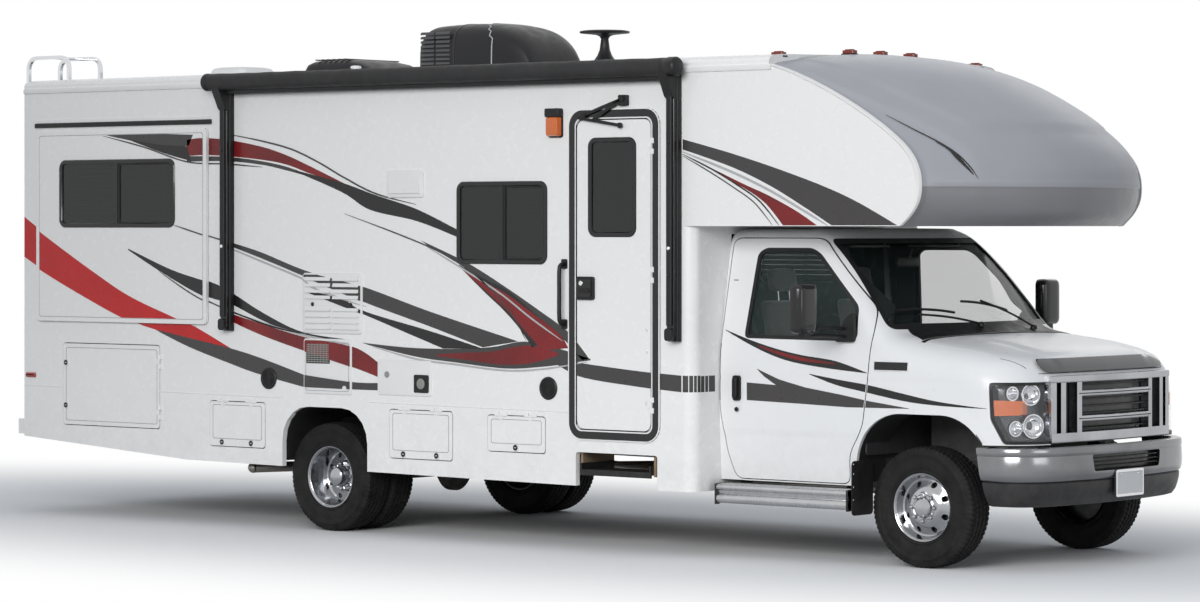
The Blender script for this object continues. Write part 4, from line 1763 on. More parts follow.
window("slide_out_window", SLIDE_PANE, SLIDE_FACE, "slide_out", "tinted_glass", "slide_window")
window("side_window", SIDE_PANE, WALL, "coach", "tinted_glass", "coach_windows")
ENTRY_PANE = (ENTRY_LEAF[0].x + 0.092, ENTRY_LEAF[0].x + 0.492, 2.02, 2.66)
window("entry_window", ENTRY_PANE, LEAF_FACE, "entry_door", "tinted_glass", "entry_glass",
       slider=False, blinds=False, depth=0.022)


def left_window(name, b):
    """A slider window on the left wall, as the mirror image of one on the right."""
    s = Shape()
    rounded_frame(s, b, 0.060, 0.032, WALL + 0.012, WALL - 0.009, "gloss_black")
    s.prism(rounded_rect(*inset(b, 0.030), 0.034), "y", WALL + 0.004, WALL + 0.008, "tint")
    x = (b[0] + b[1]) / 2
    s.box((x - 0.014, WALL - 0.005, b[2] + 0.028), (x + 0.014, WALL + 0.010, b[3] - 0.028),
          "gloss_black", 0.004)
    z = b[2] + 0.03
    while z < b[3] - 0.05:
        s.prism([(WALL + 0.020, z), (WALL + 0.030, z + 0.030), (WALL + 0.031, z + 0.030),
                 (WALL + 0.021, z)], "x", b[0] + 0.03, b[1] - 0.03, "blind")
        z += 0.034
    mirrored(s).make(name, "coach", "tinted_glass")


left_window("left_window", LEFT_PANE)
left_window("bed_window", BED_PANE)
rear = Shape()
REAR_PANE = (-0.33, 0.55, 1.84, 2.36)
rear_rings = []
for g, x in ((0, BACK + 0.010), (0, BACK - 0.004), (0.006, BACK - 0.009), (0.026, BACK - 0.009),
             (0.032, BACK - 0.004), (0.032, BACK + 0.010)):
    rear_rings.append(place3(rounded_rect(*inset(REAR_PANE, g), 0.07 - g, 7), "x", x))
rear.rings(rear_rings + rear_rings[:1], "gloss_black", caps=False)
rear.prism(rounded_rect(*inset(REAR_PANE, 0.030), 0.04), "x", BACK - 0.002, BACK + 0.004, "tint")
rear.prism(rounded_rect(*inset(REAR_PANE, 0.034), 0.04), "x", BACK + 0.020, BACK + 0.024, "blind")
rear.make("rear_window", "coach", "tinted_glass")

door_trim = Shape()
rounded_frame(door_trim, ENTRY_BOX, 0.11, 0.064, WALL - 0.0005, WALL - 0.0145, "gloss_black",
              0.010)
rounded_frame(door_trim, inset(ENTRY_BOX, 0.064), 0.05, 0.005, WALL + 0.034, WALL - 0.0130,
              "black", 0.002)
door_trim.make("entry_door_frame", "coach", "black_trim")

leaf = Shape()
x0 = ENTRY_LEAF[0].x
leaf.box((x0 + 0.004, LEAF_FACE - 0.018, 1.615), (x0 + 0.150, LEAF_FACE, 1.765), "black", 0.014)
leaf.box((x0 + 0.022, LEAF_FACE - 0.024, 1.632), (x0 + 0.132, LEAF_FACE - 0.016, 1.748),
         "gloss_black", 0.012)
leaf.box((x0 + 0.034, LEAF_FACE - 0.030, 1.660), (x0 + 0.120, LEAF_FACE - 0.022, 1.690), "black",
         0.008)
leaf.lathe(stud(0.016, 0.006, 0.008, 0.012),
           (x0 + 0.052, LEAF_FACE - 0.030, 1.722), (0, 1, 0), "chrome", 20)
for z in (0.95, 1.28, 1.42):
    leaf.box((x0 + 0.565, LEAF_FACE - 0.003, z), (x0 + 0.585, LEAF_FACE, z + 0.02), "chrome",
             0.004)
leaf.make("entry_door_lock", "entry_door", "black_trim", bevel=0.0015)

# Folded stay above the entry door: two flat arms that meet at a pivot.
stay = Shape()
ty = WALL - 0.034
for a, b in (((1.10, 2.805), (1.42, 2.905)), ((1.42, 2.905), (1.18, 2.775)),
             ((1.05, 2.790), (1.40, 2.735))):
    ax, az = a
    bx, bz = b
    run = Vector((bx - ax, bz - az)).normalized() * 0.010
    across = Vector((-run.y, run.x))
    stay.prism([(ax - across.x, az - across.y), (bx - across.x, bz - across.y),
                (bx + across.x, bz + across.y), (ax + across.x, az + across.y)], "y",
               ty, ty + 0.010, "black")
for px, pz in ((1.42, 2.905), (1.10, 2.803), (1.40, 2.735)):
    stay.lathe(stud(0.018, 0.016, 0.018, 0.014),
               (px, ty - 0.004, pz), (0, 1, 0), "black", 18)
stay.box((1.385, WALL - 0.030, 2.86), (1.455, WALL, 2.93), "black", 0.010)
stay.make("entry_door_stay", "coach", "black_trim", bevel=0.001)


# ---------------------------------------------------------------- front cap
CAP_SEAM = smooth_line([(0.040, CABOVER), (0.115, 2.16), (0.165, 2.24), (0.180, 2.33),
                        (0.165, 2.43), (0.110, 2.53), (-0.01, 2.64), (-0.22, 2.78),
                        (-0.49, 2.925), (-0.76, 3.04), (-0.95, 3.098)], 6)
CAP_TIP = smooth_line([(0.500, CABOVER), (CAP_NOSE - 0.045, 2.15), (CAP_NOSE - 0.010, 2.23),
                       (CAP_NOSE, 2.33), (CAP_NOSE - 0.035, 2.45), (CAP_NOSE - 0.13, 2.60),
                       (0.32, 2.77), (0.06, 2.92), (-0.25, 3.06), (-0.60, 3.15),
                       (-0.95, ROOF_TOP)], 6)


def roof_at(q):
    return WALL_TOP + 0.074 + 0.026 * (1 - q * q) - 0.036 * q ** 6 - 0.036 * q ** 12


def cap_profile(q):
    """Points (x from the front axle, z) of the cap at a share q of the half width."""
    f = (1 - min(abs(q), 1) ** 1.85) ** 0.95
    return [(a[0] * (1 - f) + b[0] * f, min(a[1] * (1 - f) + b[1] * f, roof_at(q)))
            for a, b in zip(CAP_SEAM, CAP_TIP)]


def step_between(value, low, high):
    t = min(max((value - low) / (high - low), 0), 1)
    return t * t * (3 - 2 * t)


def cap_point(q, k):
    """A point of the finished skin: the smooth cap with its raised field and sunk borders."""
    x, z = cap_profile(q)[k]
    share = abs(q)
    edge = 0.955 - 0.20 * step_between(z, 3.0, 2.5)
    field = step_between(share, edge + 0.035, edge - 0.035) * step_between(z, 2.36, 2.46)
    hood = step_between(share, edge - 0.17, edge - 0.24) * step_between(z, 2.685, 2.715)
    lift = 0.016 * field + 0.014 * hood - 0.016
    lift -= 0.010 * step_between(z, 2.35, 2.32) * step_between(share, 1.0, 0.9)
    lean = Vector((1, q * 0.9, 0.55 if z > 2.4 else 0)).normalized()
    return Vector((AXLE_F + x, q * HALF_W, z)) + lean * lift * step_between(share, 1.0, 0.96)


cap = Shape()
CAP_Q = [math.copysign(1 - (1 - abs(u) / 56) ** 1.9, u) if u else 0.0 for u in range(-56, 57)]
rows = [[cap_point(q, k) for k in range(len(CAP_SEAM))] for q in CAP_Q]
count = len(CAP_SEAM)
cap_verts = [p for row in rows for p in row]
for mat, picked in (("silver", lambda z: z >= 2.335), ("silver_low", lambda z: z < 2.335)):
    faces = []
    for i in range(len(CAP_Q) - 1):
        for k in range(count - 1):
            if picked(rows[i][k + 1].z):
                faces.append((i * count + k, i * count + k + 1, (i + 1) * count + k + 1,
                              (i + 1) * count + k))
    cap.add(cap_verts, faces, mat)
under = [row[0] for row in rows]
back_edge = [Vector((AXLE_F + 0.02, q * HALF_W, CABOVER)) for q in CAP_Q]
strip = under + back_edge
cap.add(strip, [(i, i + 1, len(under) + i + 1, len(under) + i) for i in range(len(under) - 1)],
        "silver_low")
cap.make("front_cap_skin", "coach", "cap_silver", ["front_cap"], angle=40, weld=0.0002)

# Light moulding along the joint of the wall and the cap, on both sides.
edging = Shape()
edge_line = [Vector((AXLE_F + x, -HALF_W, z)) for x, z in CAP_SEAM]
edging.rings([[p + Vector((-0.022, -0.002, -0.004)), p + Vector((-0.016, -0.008, 0)),
               p + Vector((0.006, -0.008, 0.002)), p + Vector((0.014, 0.010, 0.004)),
               p + Vector((-0.02, 0.012, 0))] for p in edge_line], "moulding")
make_pair(edging, "cap_moulding", BOTH, "vent_plastic")


def on_cap(q, z, out):
    """The point of the cap's skin at a height, held a little off it."""
    places = [cap_point(q, k) for k in range(count)]
    for a, b in zip(places, places[1:]):
        if (a.z - z) * (b.z - z) <= 0 and a.z != b.z:
            p = a.lerp(b, (z - a.z) / (b.z - a.z))
            run = (b - a).normalized()
            side = cap_point(min(q + 0.01, 1), 20) - cap_point(max(q - 0.01, -1), 20)
            normal = side.cross(run).normalized()
            return p + normal * (out if normal.x > 0 else -out)
    return places[0]


film = Shape()
for side in (-1, 1):
    for line, width in (([(0.925, 2.765), (0.885, 2.675), (0.83, 2.59), (0.785, 2.51),
                          (0.735, 2.375)], 0.016),
                        ([(0.845, 2.60), (0.81, 2.55), (0.795, 2.49), (0.755, 2.40)], 0.030)):
        marks = smooth_line([(q * HALF_W, z) for q, z in line], 14)
        n = len(marks)
        strip = []
        for i, (y, z) in enumerate(marks):
            t = i / (n - 1)
            w = width * math.sin(math.pi * (0.06 + 0.9 * t)) / HALF_W
            strip += [on_cap(side * (y / HALF_W + w * (0.5 - c / 3)), z, 0.0045)
                      for c in range(4)]
        film.add(strip, [(4 * i + c, 4 * i + c + 1, 4 * i + c + 5, 4 * i + c + 4)
                         for i in range(n - 1) for c in range(3)], "dark")
film.make("cap_stripes", "coach", "black_trim")

# Clearance lights over the cap, each on its own small foot.
lights = Shape()
for y in (-1.10, -0.34, 0.0, 0.34, 1.10):
    base = Vector((AXLE_F - 1.0, y, roof_at(y / HALF_W) - 0.003))
    for grow, z0, z1, mat in ((1.0, 0.0, 0.010, "black"), (0.86, 0.010, 0.032, "dome"),
                              (0.60, 0.032, 0.038, "dome")):
        outline = round_corners([(base.x - 0.055 * grow, base.y - 0.030 * grow),
                                 (base.x + 0.055 * grow, base.y - 0.030 * grow),
                                 (base.x + 0.055 * grow, base.y + 0.030 * grow),
                                 (base.x - 0.055 * grow, base.y + 0.030 * grow)], 0.018)
        lights.prism(outline, "z", base.z + z0, base.z + z1, mat)
lights.make("clearance_lights", "coach", "lamp_lens", bevel=0.003)


# ---------------------------------------------------------------- awning
AWN_R = 0.062
AWN_Y = WALL - 0.053 - AWN_R
AWN_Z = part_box("awning")[1].z - AWN_R
AWN_X1 = SEAM + 0.060
AWN_X0 = AWN_X1 - 4.220
awning = Shape()
n = 40
rings = []
steps = 60
x0, x1 = AWN_X0 + 0.07, AWN_X1 - 0.12
for i in range(steps + 1):
    x = x0 + (x1 - x0) * i / steps
    r = AWN_R - 0.004
    sag = 0.0012 * math.sin(i * 1.7) + 0.0008 * math.sin(i * 0.6 + 1)
    rings.append([(x, AWN_Y + (r + sag) * math.cos(a), AWN_Z + (r + sag) * math.sin(a))
                  for a in (2 * math.pi * k / n for k in range(n))])
awning.rings(rings, "fabric")
for x0, x1 in ((AWN_X0, AWN_X0 + 0.085), (AWN_X1 - 0.135, AWN_X1)):
    flip = 1 if x0 == AWN_X0 else -1
    ends = (x0, x1) if flip == 1 else (x1, x0)
    width = abs(x1 - x0)
    awning.lathe([(0, 0), (0, AWN_R * 0.55), (0.006, AWN_R * 0.86), (0.018, AWN_R),
                  (width * 0.55, AWN_R), (width * 0.6, AWN_R * 0.93),
                  (width - 0.004, AWN_R * 0.93), (width, AWN_R * 0.8), (width, 0)],
                 (ends[0], AWN_Y, AWN_Z), (flip, 0, 0), "black", 36)
# The valance's hem under the roll.
awning.prism([(AWN_Y + 0.02, AWN_Z - AWN_R + 0.004), (AWN_Y + 0.034, AWN_Z - AWN_R + 0.008),
              (AWN_Y + 0.040, AWN_Z - AWN_R - 0.02), (AWN_Y + 0.030, AWN_Z - AWN_R - 0.022)],
             "x", AWN_X0 + 0.09, AWN_X1 - 0.14, "black")
for x in (AWN_X0 + 0.095, AWN_X1 - 0.145):
    face = WALL - 0.090
    low, top = 1.36, AWN_Z - 0.045
    # Outer channel, with the inner arm nested in it, both with rolled edges.
    for g, y0, y1, z0, mat in ((0.0, WALL - 0.001, WALL - 0.046, low, "black"),
                               (0.009, WALL - 0.046, WALL - 0.072, low + 0.03, "gloss_black"),
                               (0.018, WALL - 0.072, face, low + 0.10, "black")):
        awning.prism(round_corners([(x + g, y0), (x + g, y1), (x + 0.08 - g, y1),
                                    (x + 0.08 - g, y0)], 0.008, 3), "z", z0, top, mat)
    for z in (low + 0.06, low + 0.42, 1.95, 2.62):
        awning.lathe(stud(0.013, 0.006, 0.009, 0.008),
                     (x + 0.04, face + 0.002, z), (0, -1, 0), "chrome" if z == 1.95 else "black",
                     14)
    awning.box((x + 0.012, face - 0.010, low + 0.005), (x + 0.068, face + 0.03, low + 0.085),
               "black", 0.02)
    # Shoulder casting that holds the roll.
    shoulder = round_corners([(WALL, top - 0.15), (WALL - 0.080, top - 0.16),
                              (AWN_Y - 0.050, top + 0.01), (AWN_Y - 0.050, AWN_Z + 0.035),
                              (AWN_Y, AWN_Z + AWN_R - 0.001), (AWN_Y + 0.045, AWN_Z + 0.04),
                              (WALL - 0.02, top + 0.03)], 0.03)
    awning.prism(shoulder, "x", x + 0.004, x + 0.076, "black")
awning.make("awning_roll", "coach", "black_trim", ["awning"], bevel=0.0025)

# Gutter along the wall's top, topper rail of the slide-out and its folded cloth.
rails = Shape()
for y0, sign in ((WALL, -1), (HALF_W, 1)):
    rails.prism([(y0 + 0.004 * -sign, 3.060), (y0 + 0.012 * sign, 3.062),
                 (y0 + 0.016 * sign, 3.078), (y0 + 0.010 * sign, 3.096),
                 (y0 + 0.004 * -sign, 3.098)], "x", BACK + 0.004, AXLE_F - 0.93, "moulding")
rails.make("gutters", "coach", "vent_plastic", bevel=0.001)
topper = Shape()
topper.prism(round_corners([(WALL, 2.808), (WALL - 0.017, 2.809), (WALL - 0.0175, 2.838),
                            (WALL - 0.004, 2.842), (WALL, 2.842)], 0.004, 3), "x",
             SLIDE[0] - 0.03, SLIDE[1] + 0.03, "black")
topper.prism([(WALL, 2.842), (WALL - 0.008, 2.842), (WALL - 0.006, 2.862), (WALL, 2.866)],
             "x", SLIDE[0] - 0.035, SLIDE[1] + 0.035, "moulding")
topper.make("slide_out_topper", "coach", "black_trim", bevel=0.001)

# Moulding round the slide-out's fascia, and the seal in its gap.
trim = Shape()
for g0, g1, y, mat in ((-0.0005, 0.030, SLIDE_FACE - 0.0005, "white"),
                       (0.030, 0.0345, SLIDE_FACE - 0.0003, "groove")):
    rounded = [rounded_rect(*inset(SLIDE, g), 0.03 if g < 0.02 else 0.02) for g in (g0, g1)]
    trim.frame(rounded[0], rounded[1], "y", y, SLIDE_FACE + 0.003, mat)
trim.frame(rounded_rect(*inset(SLIDE, 0.006), 0.026), rounded_rect(*inset(SLIDE, 0.016), 0.022),
           "y", WALL - 0.0055, WALL - 0.0005, "black")
trim.make("slide_out_trim", "slide_out", "body_white", bevel=0.001)


# ---------------------------------------------------------------- roof
ac_low, ac_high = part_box("roof_air_conditioner")
ac = Shape()
L, W2, Z0, Z1 = ac_high.x - ac_low.x, ac_high.y, ac_low.z, ac_high.z
AC_TOP = [(0.0, 0.80), (0.02, 0.90), (0.07, 0.965), (0.16, 0.985), (0.34, 1.0), (0.52, 0.99),
          (0.66, 0.955), (0.78, 0.87), (0.87, 0.74), (0.94, 0.56), (0.98, 0.36), (1.0, 0.16)]
AC_TOP = smooth_line(AC_TOP, 4)
rings = []
for t, h in AC_TOP:
    width = W2 * (0.955 + 0.045 * math.sin(math.pi * min(t * 1.3, 1))) * (1 - 0.14 * max(
        0, (t - 0.7) / 0.3) ** 2)
    top = Z0 + (Z1 - Z0) * h
    ring = []
    for i in range(33):
        a = math.pi * i / 32
        c, s = math.cos(a), math.sin(a)
        y = width * math.copysign(abs(c) ** 0.42, c)
        z = Z0 + 0.002 + (top - Z0 - 0.002) * abs(s) ** 0.42
        ring.append((ac_low.x + L * t, y, z))
    rings.append(ring)
ac.rings(rings, "shell")
seam_x = ac_low.x + 0.33 * L
k = min(range(len(AC_TOP)), key=lambda i: abs(AC_TOP[i][0] - 0.33))
ring = [((seam_x, y * 1.004, Z0 + (z - Z0) * 1.004 + 0.001)) for _, y, z in rings[k]]
ac.rings([ring, [(x + 0.016, y, z) for x, y, z in ring]], "gloss_black")
# Slim light seam that sweeps over the smooth part.
sweep = []
for i in range(33):
    t = 0.70 - 0.16 * (1 - abs(i - 16) / 16) ** 1.5
    k = min(range(len(AC_TOP)), key=lambda j: abs(AC_TOP[j][0] - t))
    x, y, z = rings[k][i]
    sweep.append((x, y * 1.004, Z0 + (z - Z0) * 1.006))
ac.tube(sweep, 0.0045, "light", 6)
# Louvres over the rear third, on both sides and behind.
for row in range(8):
    z = Z0 + 0.045 + row * 0.030
    for side in (-1, 1):
        y = side * W2 * 0.975
        for x0, x1 in ((0.02, 0.150), (0.165, 0.300)):
            ac.prism([(y, z), (y + side * 0.010, z - 0.006), (y + side * 0.010, z + 0.004),
                      (y, z + 0.014)], "x", ac_low.x + L * x0, ac_low.x + L * x1, "shell_light")
    ac.prism([(ac_low.x, z), (ac_low.x + 0.012, z - 0.008), (ac_low.x + 0.012, z + 0.012),
              (ac_low.x, z + 0.010)], "y", -W2 * 0.8, W2 * 0.8, "shell_light")
ac.make("air_conditioner", "coach", "black_trim", ["roof_air_conditioner"], angle=50)

roofing = Shape()
vx1 = AXLE_R - 0.450
vx0 = vx1 - 0.690
vz = ROOF_TOP - 0.018
rings = []
for t, h, wide in ((0.0, 0.10, 0.93), (0.015, 0.52, 0.97), (0.05, 0.85, 0.985), (0.12, 0.98, 1.0),
                   (0.45, 1.0, 1.0), (0.62, 0.98, 0.99), (0.80, 0.78, 0.97), (0.93, 0.42, 0.95),
                   (1.0, 0.12, 0.92)):
    ring = []
    for i in range(25):
        a = math.pi * i / 24
        c, s = math.cos(a), math.sin(a)
        ring.append((vx0 + 0.69 * t, 0.300 * wide * math.copysign(abs(c) ** 0.35, c),
                     vz + 0.002 + 0.115 * h * abs(s) ** 0.35))
    rings.append(ring)
roofing.rings(rings, "shell")
for t in (0.16, 0.24, 0.32, 0.40, 0.48, 0.56):
    x = vx0 + 0.69 * t
    roofing.box((x, -0.285, vz + 0.112), (x + 0.022, 0.285, vz + 0.121), "shell_light", 0.003)
# White vent lid behind it, with its flange.
lx = BACK + 0.79
roofing.box((lx, -0.20, vz), (lx + 0.40, 0.20, vz + 0.02), "moulding", 0.006)
roofing.boss((lx, lx + 0.40, -0.2, 0.2), 0.05, "z",
             ((0.02, vz + 0.02), (0.02, vz + 0.065), (0.035, vz + 0.088), (0.07, vz + 0.098)),
             "moulding")
for p, y in ((0.2, 0.60), (0.55, -0.50)):
    roofing.lathe([(0, 0), (0, 0.052), (0.004, 0.052), (0.006, 0.040), (0.045, 0.034),
                   (0.046, 0.040), (0.060, 0.036), (0.064, 0.020), (0.064, 0)],
                  (BACK + p * 4.75, y, ROOF_TOP - 0.028), (0, 0, 1), "moulding", 24)
# Disc antenna on its cone.
ant = Vector((AXLE_F - 3.310, 0, ROOF_TOP - 0.020))
roofing.lathe([(0, 0), (0, 0.108), (0.010, 0.106), (0.050, 0.080), (0.090, 0.052),
               (0.130, 0.036), (0.205, 0.026), (0.222, 0.036), (0.232, 0.060),
               (0.238, 0.110), (0.244, 0.168), (0.250, 0.174), (0.257, 0.172), (0.262, 0.150),
               (0.265, 0.06), (0.266, 0)], ant, (0, 0, 1), "shell", 40)
roofing.make("roof_fittings_cover", "coach", "vent_plastic", ["roof_fittings"], angle=45)


# ---------------------------------------------------------------- fittings of the side wall
fit = Shape()


def flange(b, proud, mat, r=0.02):
    """A framed panel on the wall, its edge rolled into the face."""
    rings = [place3(rounded_rect(*inset(b, g), max(r - g / 2, 0.006), 5), "y", WALL - y)
             for g, y in ((0, -0.001), (0, proud * 0.4), (0.003, proud * 0.85),
                          (0.008, proud))]
    fit.rings(rings, mat)


# Refrigerator vent: two stacks of slats with a lock plate between.
flange(FRIDGE, 0.012, "moulding", 0.03)
for k in range(9):
    z = FRIDGE[2] + 0.030 + k * 0.0415
    if k == 4:
        continue
    for x0, x1 in ((FRIDGE[0] + 0.030, (FRIDGE[0] + FRIDGE[1]) / 2 - 0.012),
                   ((FRIDGE[0] + FRIDGE[1]) / 2 + 0.012, FRIDGE[1] - 0.030)):
        fit.prism([(WALL - 0.0125, z + 0.030), (WALL - 0.022, z + 0.006),
                   (WALL - 0.022, z), (WALL - 0.0125, z + 0.006)], "x", x0, x1, "moulding")
        fit.prism([(WALL - 0.0120, z - 0.001), (WALL - 0.0132, z - 0.001),
                   (WALL - 0.0132, z + 0.007), (WALL - 0.0120, z + 0.007)], "x", x0, x1,
                  "groove")
for x in (FRIDGE[0] + 0.10, FRIDGE[1] - 0.10):
    fit.lathe(stud(0.014, 0.004, 0.006, 0.008),
              (x, WALL - 0.012, FRIDGE[2] + 0.20), (0, -1, 0), "black", 14)
# Water heater door with a small grille.
flange(HEATER, 0.010, "moulding")
gx0, gx1, gz0, gz1 = HEATER[0] + 0.03, HEATER[0] + 0.25, 1.150, 1.290
fit.box((gx0, WALL - 0.0125, gz0), (gx1, WALL - 0.009, gz1), "black", 0.004)
for k in range(9):
    z = gz0 + 0.008 + k * 0.0145
    fit.box((gx0 + 0.006, WALL - 0.0155, z), (gx1 - 0.006, WALL - 0.012, z + 0.0070), "slat")
for k in range(1, 8):
    x = gx0 + k * (gx1 - gx0) / 8
    fit.box((x - 0.002, WALL - 0.0160, gz0 + 0.004), (x + 0.002, WALL - 0.012, gz1 - 0.004),
            "slat")
fit.frame(rounded_rect(*inset(HEATER, 0.022), 0.012), rounded_rect(*inset(HEATER, 0.0255), 0.012),
          "y", WALL - 0.0104, WALL - 0.0098, "groove")
fit.lathe([(0, 0), (0, 0.018), (0.006, 0.018), (0.008, 0)],
          (HEATER[1] - 0.06, WALL - 0.010, 0.985), (0, -1, 0), "moulding", 18)
# Utility panel with its outlet.
flange(UTILITY, 0.009, "moulding")
ox = (UTILITY[0] + 0.34, UTILITY[0] + 0.47, 0.975, 1.095)
fit.box((ox[0], WALL - 0.016, ox[2]), (ox[1], WALL - 0.008, ox[3]), "black", 0.010)
fit.lathe([(0, 0), (0, 0.034), (0.004, 0.036), (0.006, 0.030), (0.006, 0)],
          ((ox[0] + ox[1]) / 2, WALL - 0.016, (ox[2] + ox[3]) / 2), (0, -1, 0), "slat", 22)
fit.lathe([(0, 0), (0, 0.022), (0.003, 0.022), (0.004, 0)],
          (UTILITY[0] + 0.09, WALL - 0.009, 1.09), (0, -1, 0), "groove", 18)
# Upper vent: a hooded panel.
flange(UPPER_VENT, 0.014, "moulding")
fit.prism([(WALL - 0.012, UPPER_VENT[3] - 0.03), (WALL - 0.024, UPPER_VENT[3] - 0.07),
           (WALL - 0.024, UPPER_VENT[2] + 0.03), (WALL - 0.012, UPPER_VENT[2] + 0.03)], "x",
          UPPER_VENT[0] + 0.03, UPPER_VENT[1] - 0.03, "moulding")
# Round speakers: a ring, a domed grille and its spokes.
for x in SPEAKERS:
    at = (x, WALL, 1.035)
    fit.lathe([(0, 0), (0, 0.075), (0.006, 0.075), (0.011, 0.068), (0.011, 0.060),
               (0.007, 0.056), (0.007, 0)], at, (0, -1, 0), "black", 36)
    for r in (0.016, 0.032, 0.047):
        fit.tube([(x + r * math.cos(a), WALL - 0.009, 1.035 + r * math.sin(a))
                  for a in (2 * math.pi * k / 24 for k in range(24))], 0.0022, "black", 6, True)
# Porch lamp with its black hood.
lx0, lx1 = ENTRY_BOX[0] - 0.170, ENTRY_BOX[0] - 0.050
fit.box((lx0, WALL - 0.010, 2.665), (lx1, WALL, 2.855), "black", 0.016)
fit.boss((lx0 + 0.008, lx1 - 0.008, 2.674, 2.800), 0.012, "y",
         ((0, WALL - 0.010), (0, WALL - 0.040), (0.006, WALL - 0.052), (0.020, WALL - 0.056)),
         "amber")
fit.rings([place3(rounded_rect(lx0 + g, lx1 - g, 2.796 + g / 2, 2.855 - g / 2, 0.012),
                  "y", WALL - y) for g, y in ((0, 0.010), (0.001, 0.050), (0.010, 0.060))],
          "black")
# Grab handle beside the door, on two feet.
hx = ENTRY_BOX[0] - 0.038
fit.tube(smooth_line([(hx, WALL - 0.006, 1.455), (hx, WALL - 0.040, 1.462),
                      (hx, WALL - 0.055, 1.50), (hx, WALL - 0.056, 1.65),
                      (hx, WALL - 0.055, 1.80), (hx, WALL - 0.040, 1.838),
                      (hx, WALL - 0.006, 1.845)], 6), 0.014, "black", 14)
for z in (1.455, 1.845):
    fit.box((hx - 0.024, WALL - 0.009, z - 0.032), (hx + 0.024, WALL, z + 0.032), "black", 0.012)
for y, out in ((WALL, -1), (HALF_W, 1)):
    fit.boss((BACK + 0.022, BACK + 0.128, 0.982, 1.018), 0.010, "y",
             [(g, y + out * d) for g, d in ((0, 0), (0, 0.006), (0.004, 0.011), (0.012, 0.012))],
             "red_lens")
# Tail lamps: a chrome bezel with three lenses, and the number plate's panel.
for side in (-1, 1):
    y0, y1 = sorted((side * (HALF_W - 0.330), side * (HALF_W - 0.140)))
    fit.boss((y0, y1, 1.080, 1.330), 0.03, "x",
             ((0, BACK), (0, BACK - 0.010), (0.008, BACK - 0.020), (0.016, BACK - 0.020),
              (0.018, BACK - 0.012)), "chrome")
    for z0, z1, mat in ((1.10, 1.17, "lens"), (1.175, 1.235, "amber"), (1.24, 1.312, "red_lens")):
        fit.boss((y0 + 0.020, y1 - 0.020, z0, z1), 0.008, "x",
                 ((0, BACK - 0.008), (0.001, BACK - 0.022), (0.008, BACK - 0.028)), mat)
fit.make("wall_fittings_cover", "coach", "vent_plastic", ["wall_fittings"], angle=32)

# Latches of the luggage hatches: black rounds on the frame's square pads.
for name in ("rear", "aft", "mid", "front"):
    low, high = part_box(f"hatch_{name}_right")
    latch = Shape()
    if name == "rear":
        spots = [(low.x + 0.034, 0.79), (low.x + 0.034, 1.10)]
    elif name == "front":
        spots = [((low.x + high.x) / 2, low.z + 0.028)]
    else:
        w = high.x - low.x + 0.012
        spots = [(low.x - 0.006 + 0.24 * w, low.z + 0.028), (high.x + 0.006 - 0.24 * w,
                                                             low.z + 0.028)]
    for x, z in spots:
        latch.lathe([(0, 0), (0, 0.019), (0.003, 0.019), (0.004, 0.013), (0.001, 0.011),
                     (0.001, 0)], (x, WALL - 0.012, z), (0, -1, 0), "black", 20)
        latch.box((x - 0.009, WALL - 0.0145, z - 0.002), (x + 0.009, WALL - 0.0125, z + 0.002),
                  "chrome")
    panel = (low.x + 0.028, high.x - 0.028, low.z + 0.050 if name != "rear" else low.z + 0.028,
             high.z - 0.028)
    latch.frame(rounded_rect(*panel, 0.018), rounded_rect(*inset(panel, 0.004), 0.016), "y",
                WALL - 0.0044, WALL - 0.003, "groove")
    if name in ("rear", "mid"):
        make_pair(latch, f"hatch_{name}_latches", (f"hatch_{name}_right", f"hatch_{name}_left"),
                  "black_trim")
    else:
        latch.make(f"hatch_{name}_latches_right", f"hatch_{name}_right", "black_trim")

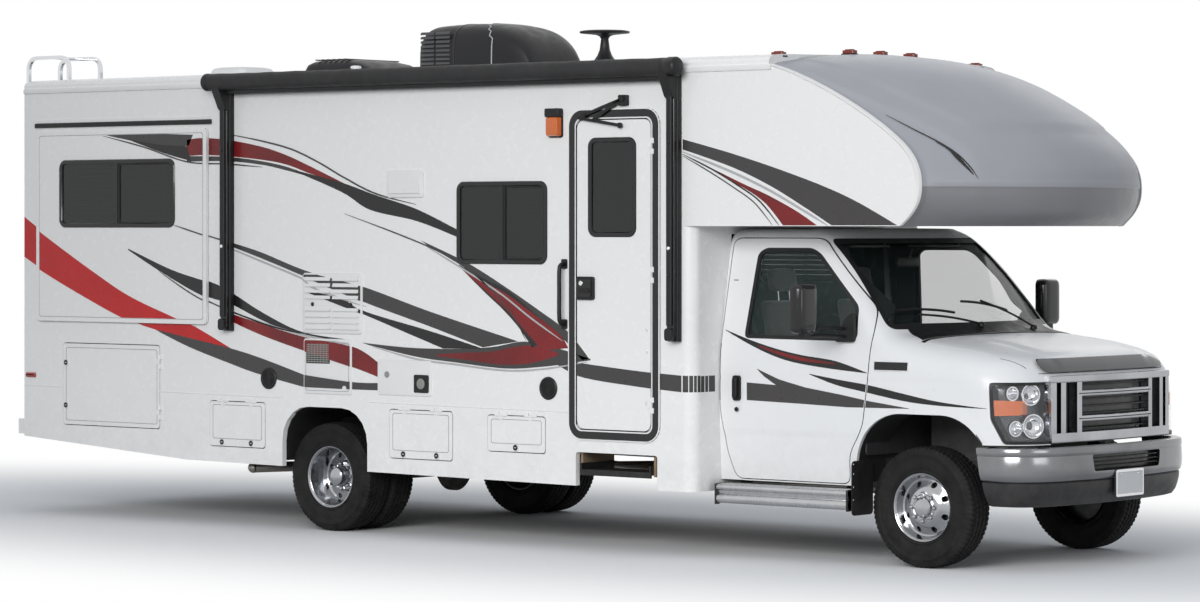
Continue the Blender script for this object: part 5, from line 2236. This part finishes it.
# Belt seam of the skirt: a shallow moulding from the rear to the entry door.
belt = Shape()
for side_x0, side_x1 in ((BACK + 0.001, -1.640), (-0.820, ENTRY_BOX[0] - 0.004)):
    za = 0.925 - 0.045 * (side_x0 - BACK) / 6
    zb = 0.925 - 0.045 * (side_x1 - BACK) / 6
    belt.add([(side_x0, WALL, za + 0.006), (side_x1, WALL, zb + 0.006),
              (side_x1, WALL - 0.0035, zb), (side_x0, WALL - 0.0035, za),
              (side_x0, WALL, za - 0.006), (side_x1, WALL, zb - 0.006)],
             [(0, 1, 2, 3), (3, 2, 5, 4)], "white")
make_pair(belt, "belt_moulding", BOTH, "body_white")

# Stripes that carry the belt round the coach's front corner, broken by slits.
corner = Shape()
CX, CY, CR = SEAM, WALL + 0.08, 0.0806
for a0, a1, mat in ((-90, -62, "grey"), (-58, -40, "grey"), (-36, -22, "grey"), (-18, 0, "grey")):
    ring = []
    for i in range(7):
        a = math.radians(a0 + (a1 - a0) * i / 6)
        ring.append((CX + CR * math.cos(a), CY + CR * math.sin(a)))
    corner.add([(x, y, z) for x, y in ring for z in (1.040, 1.145)],
               [(2 * i, 2 * i + 2, 2 * i + 3, 2 * i + 1) for i in range(6)], mat)
for y0, y1 in ((-1.185, -1.150), (-1.142, -1.112), (-1.104, -1.040)):
    corner.add([(FACE + 0.0006, y, z) for y in (y0, y1) for z in (1.040, 1.142)],
               [(0, 2, 3, 1)], "grey")
corner.make("stripes_corner", "coach", "black_trim")


# ---------------------------------------------------------------- finishes of the frame's own nodes
FINISH_OF_SLOT = {
    "body_white": "white", "cab_white": "cab", "cap_silver": "silver", "black_trim": "black",
    "vent_plastic": "moulding", "tinted_glass": "tint", "screen_glass": "screen",
    "chrome": "chrome", "chassis_black": "chassis", "engine_grey": "engine",
    "exhaust_steel": "exhaust", "tank_plastic": "tank", "floor_board": "board",
    "tub_plastic": "tub", "lamp_lens": "lens", "dash_plastic": "dash", "seat_cloth": "cloth",
    "tread_plate": "tread", "rim_steel": "steel", "tyre": "rubber",
}
slot_of = {}
for row in frame["record"]["materials"]:
    for node in row.get("nodes", ()):
        slot_of[node] = row["slot"]
for node, o in frame["nodes"].items():
    slots = o.data.materials
    name = slot_of.get(node) or slots[0].name.split(".")[0]
    look = M["slide_white" if node == "slide_out" else FINISH_OF_SLOT[name]]
    for k in range(max(len(slots), 1)):
        if len(slots):
            slots[k] = look
        else:
            slots.append(look)
    settle(o, o["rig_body"])

low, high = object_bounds()
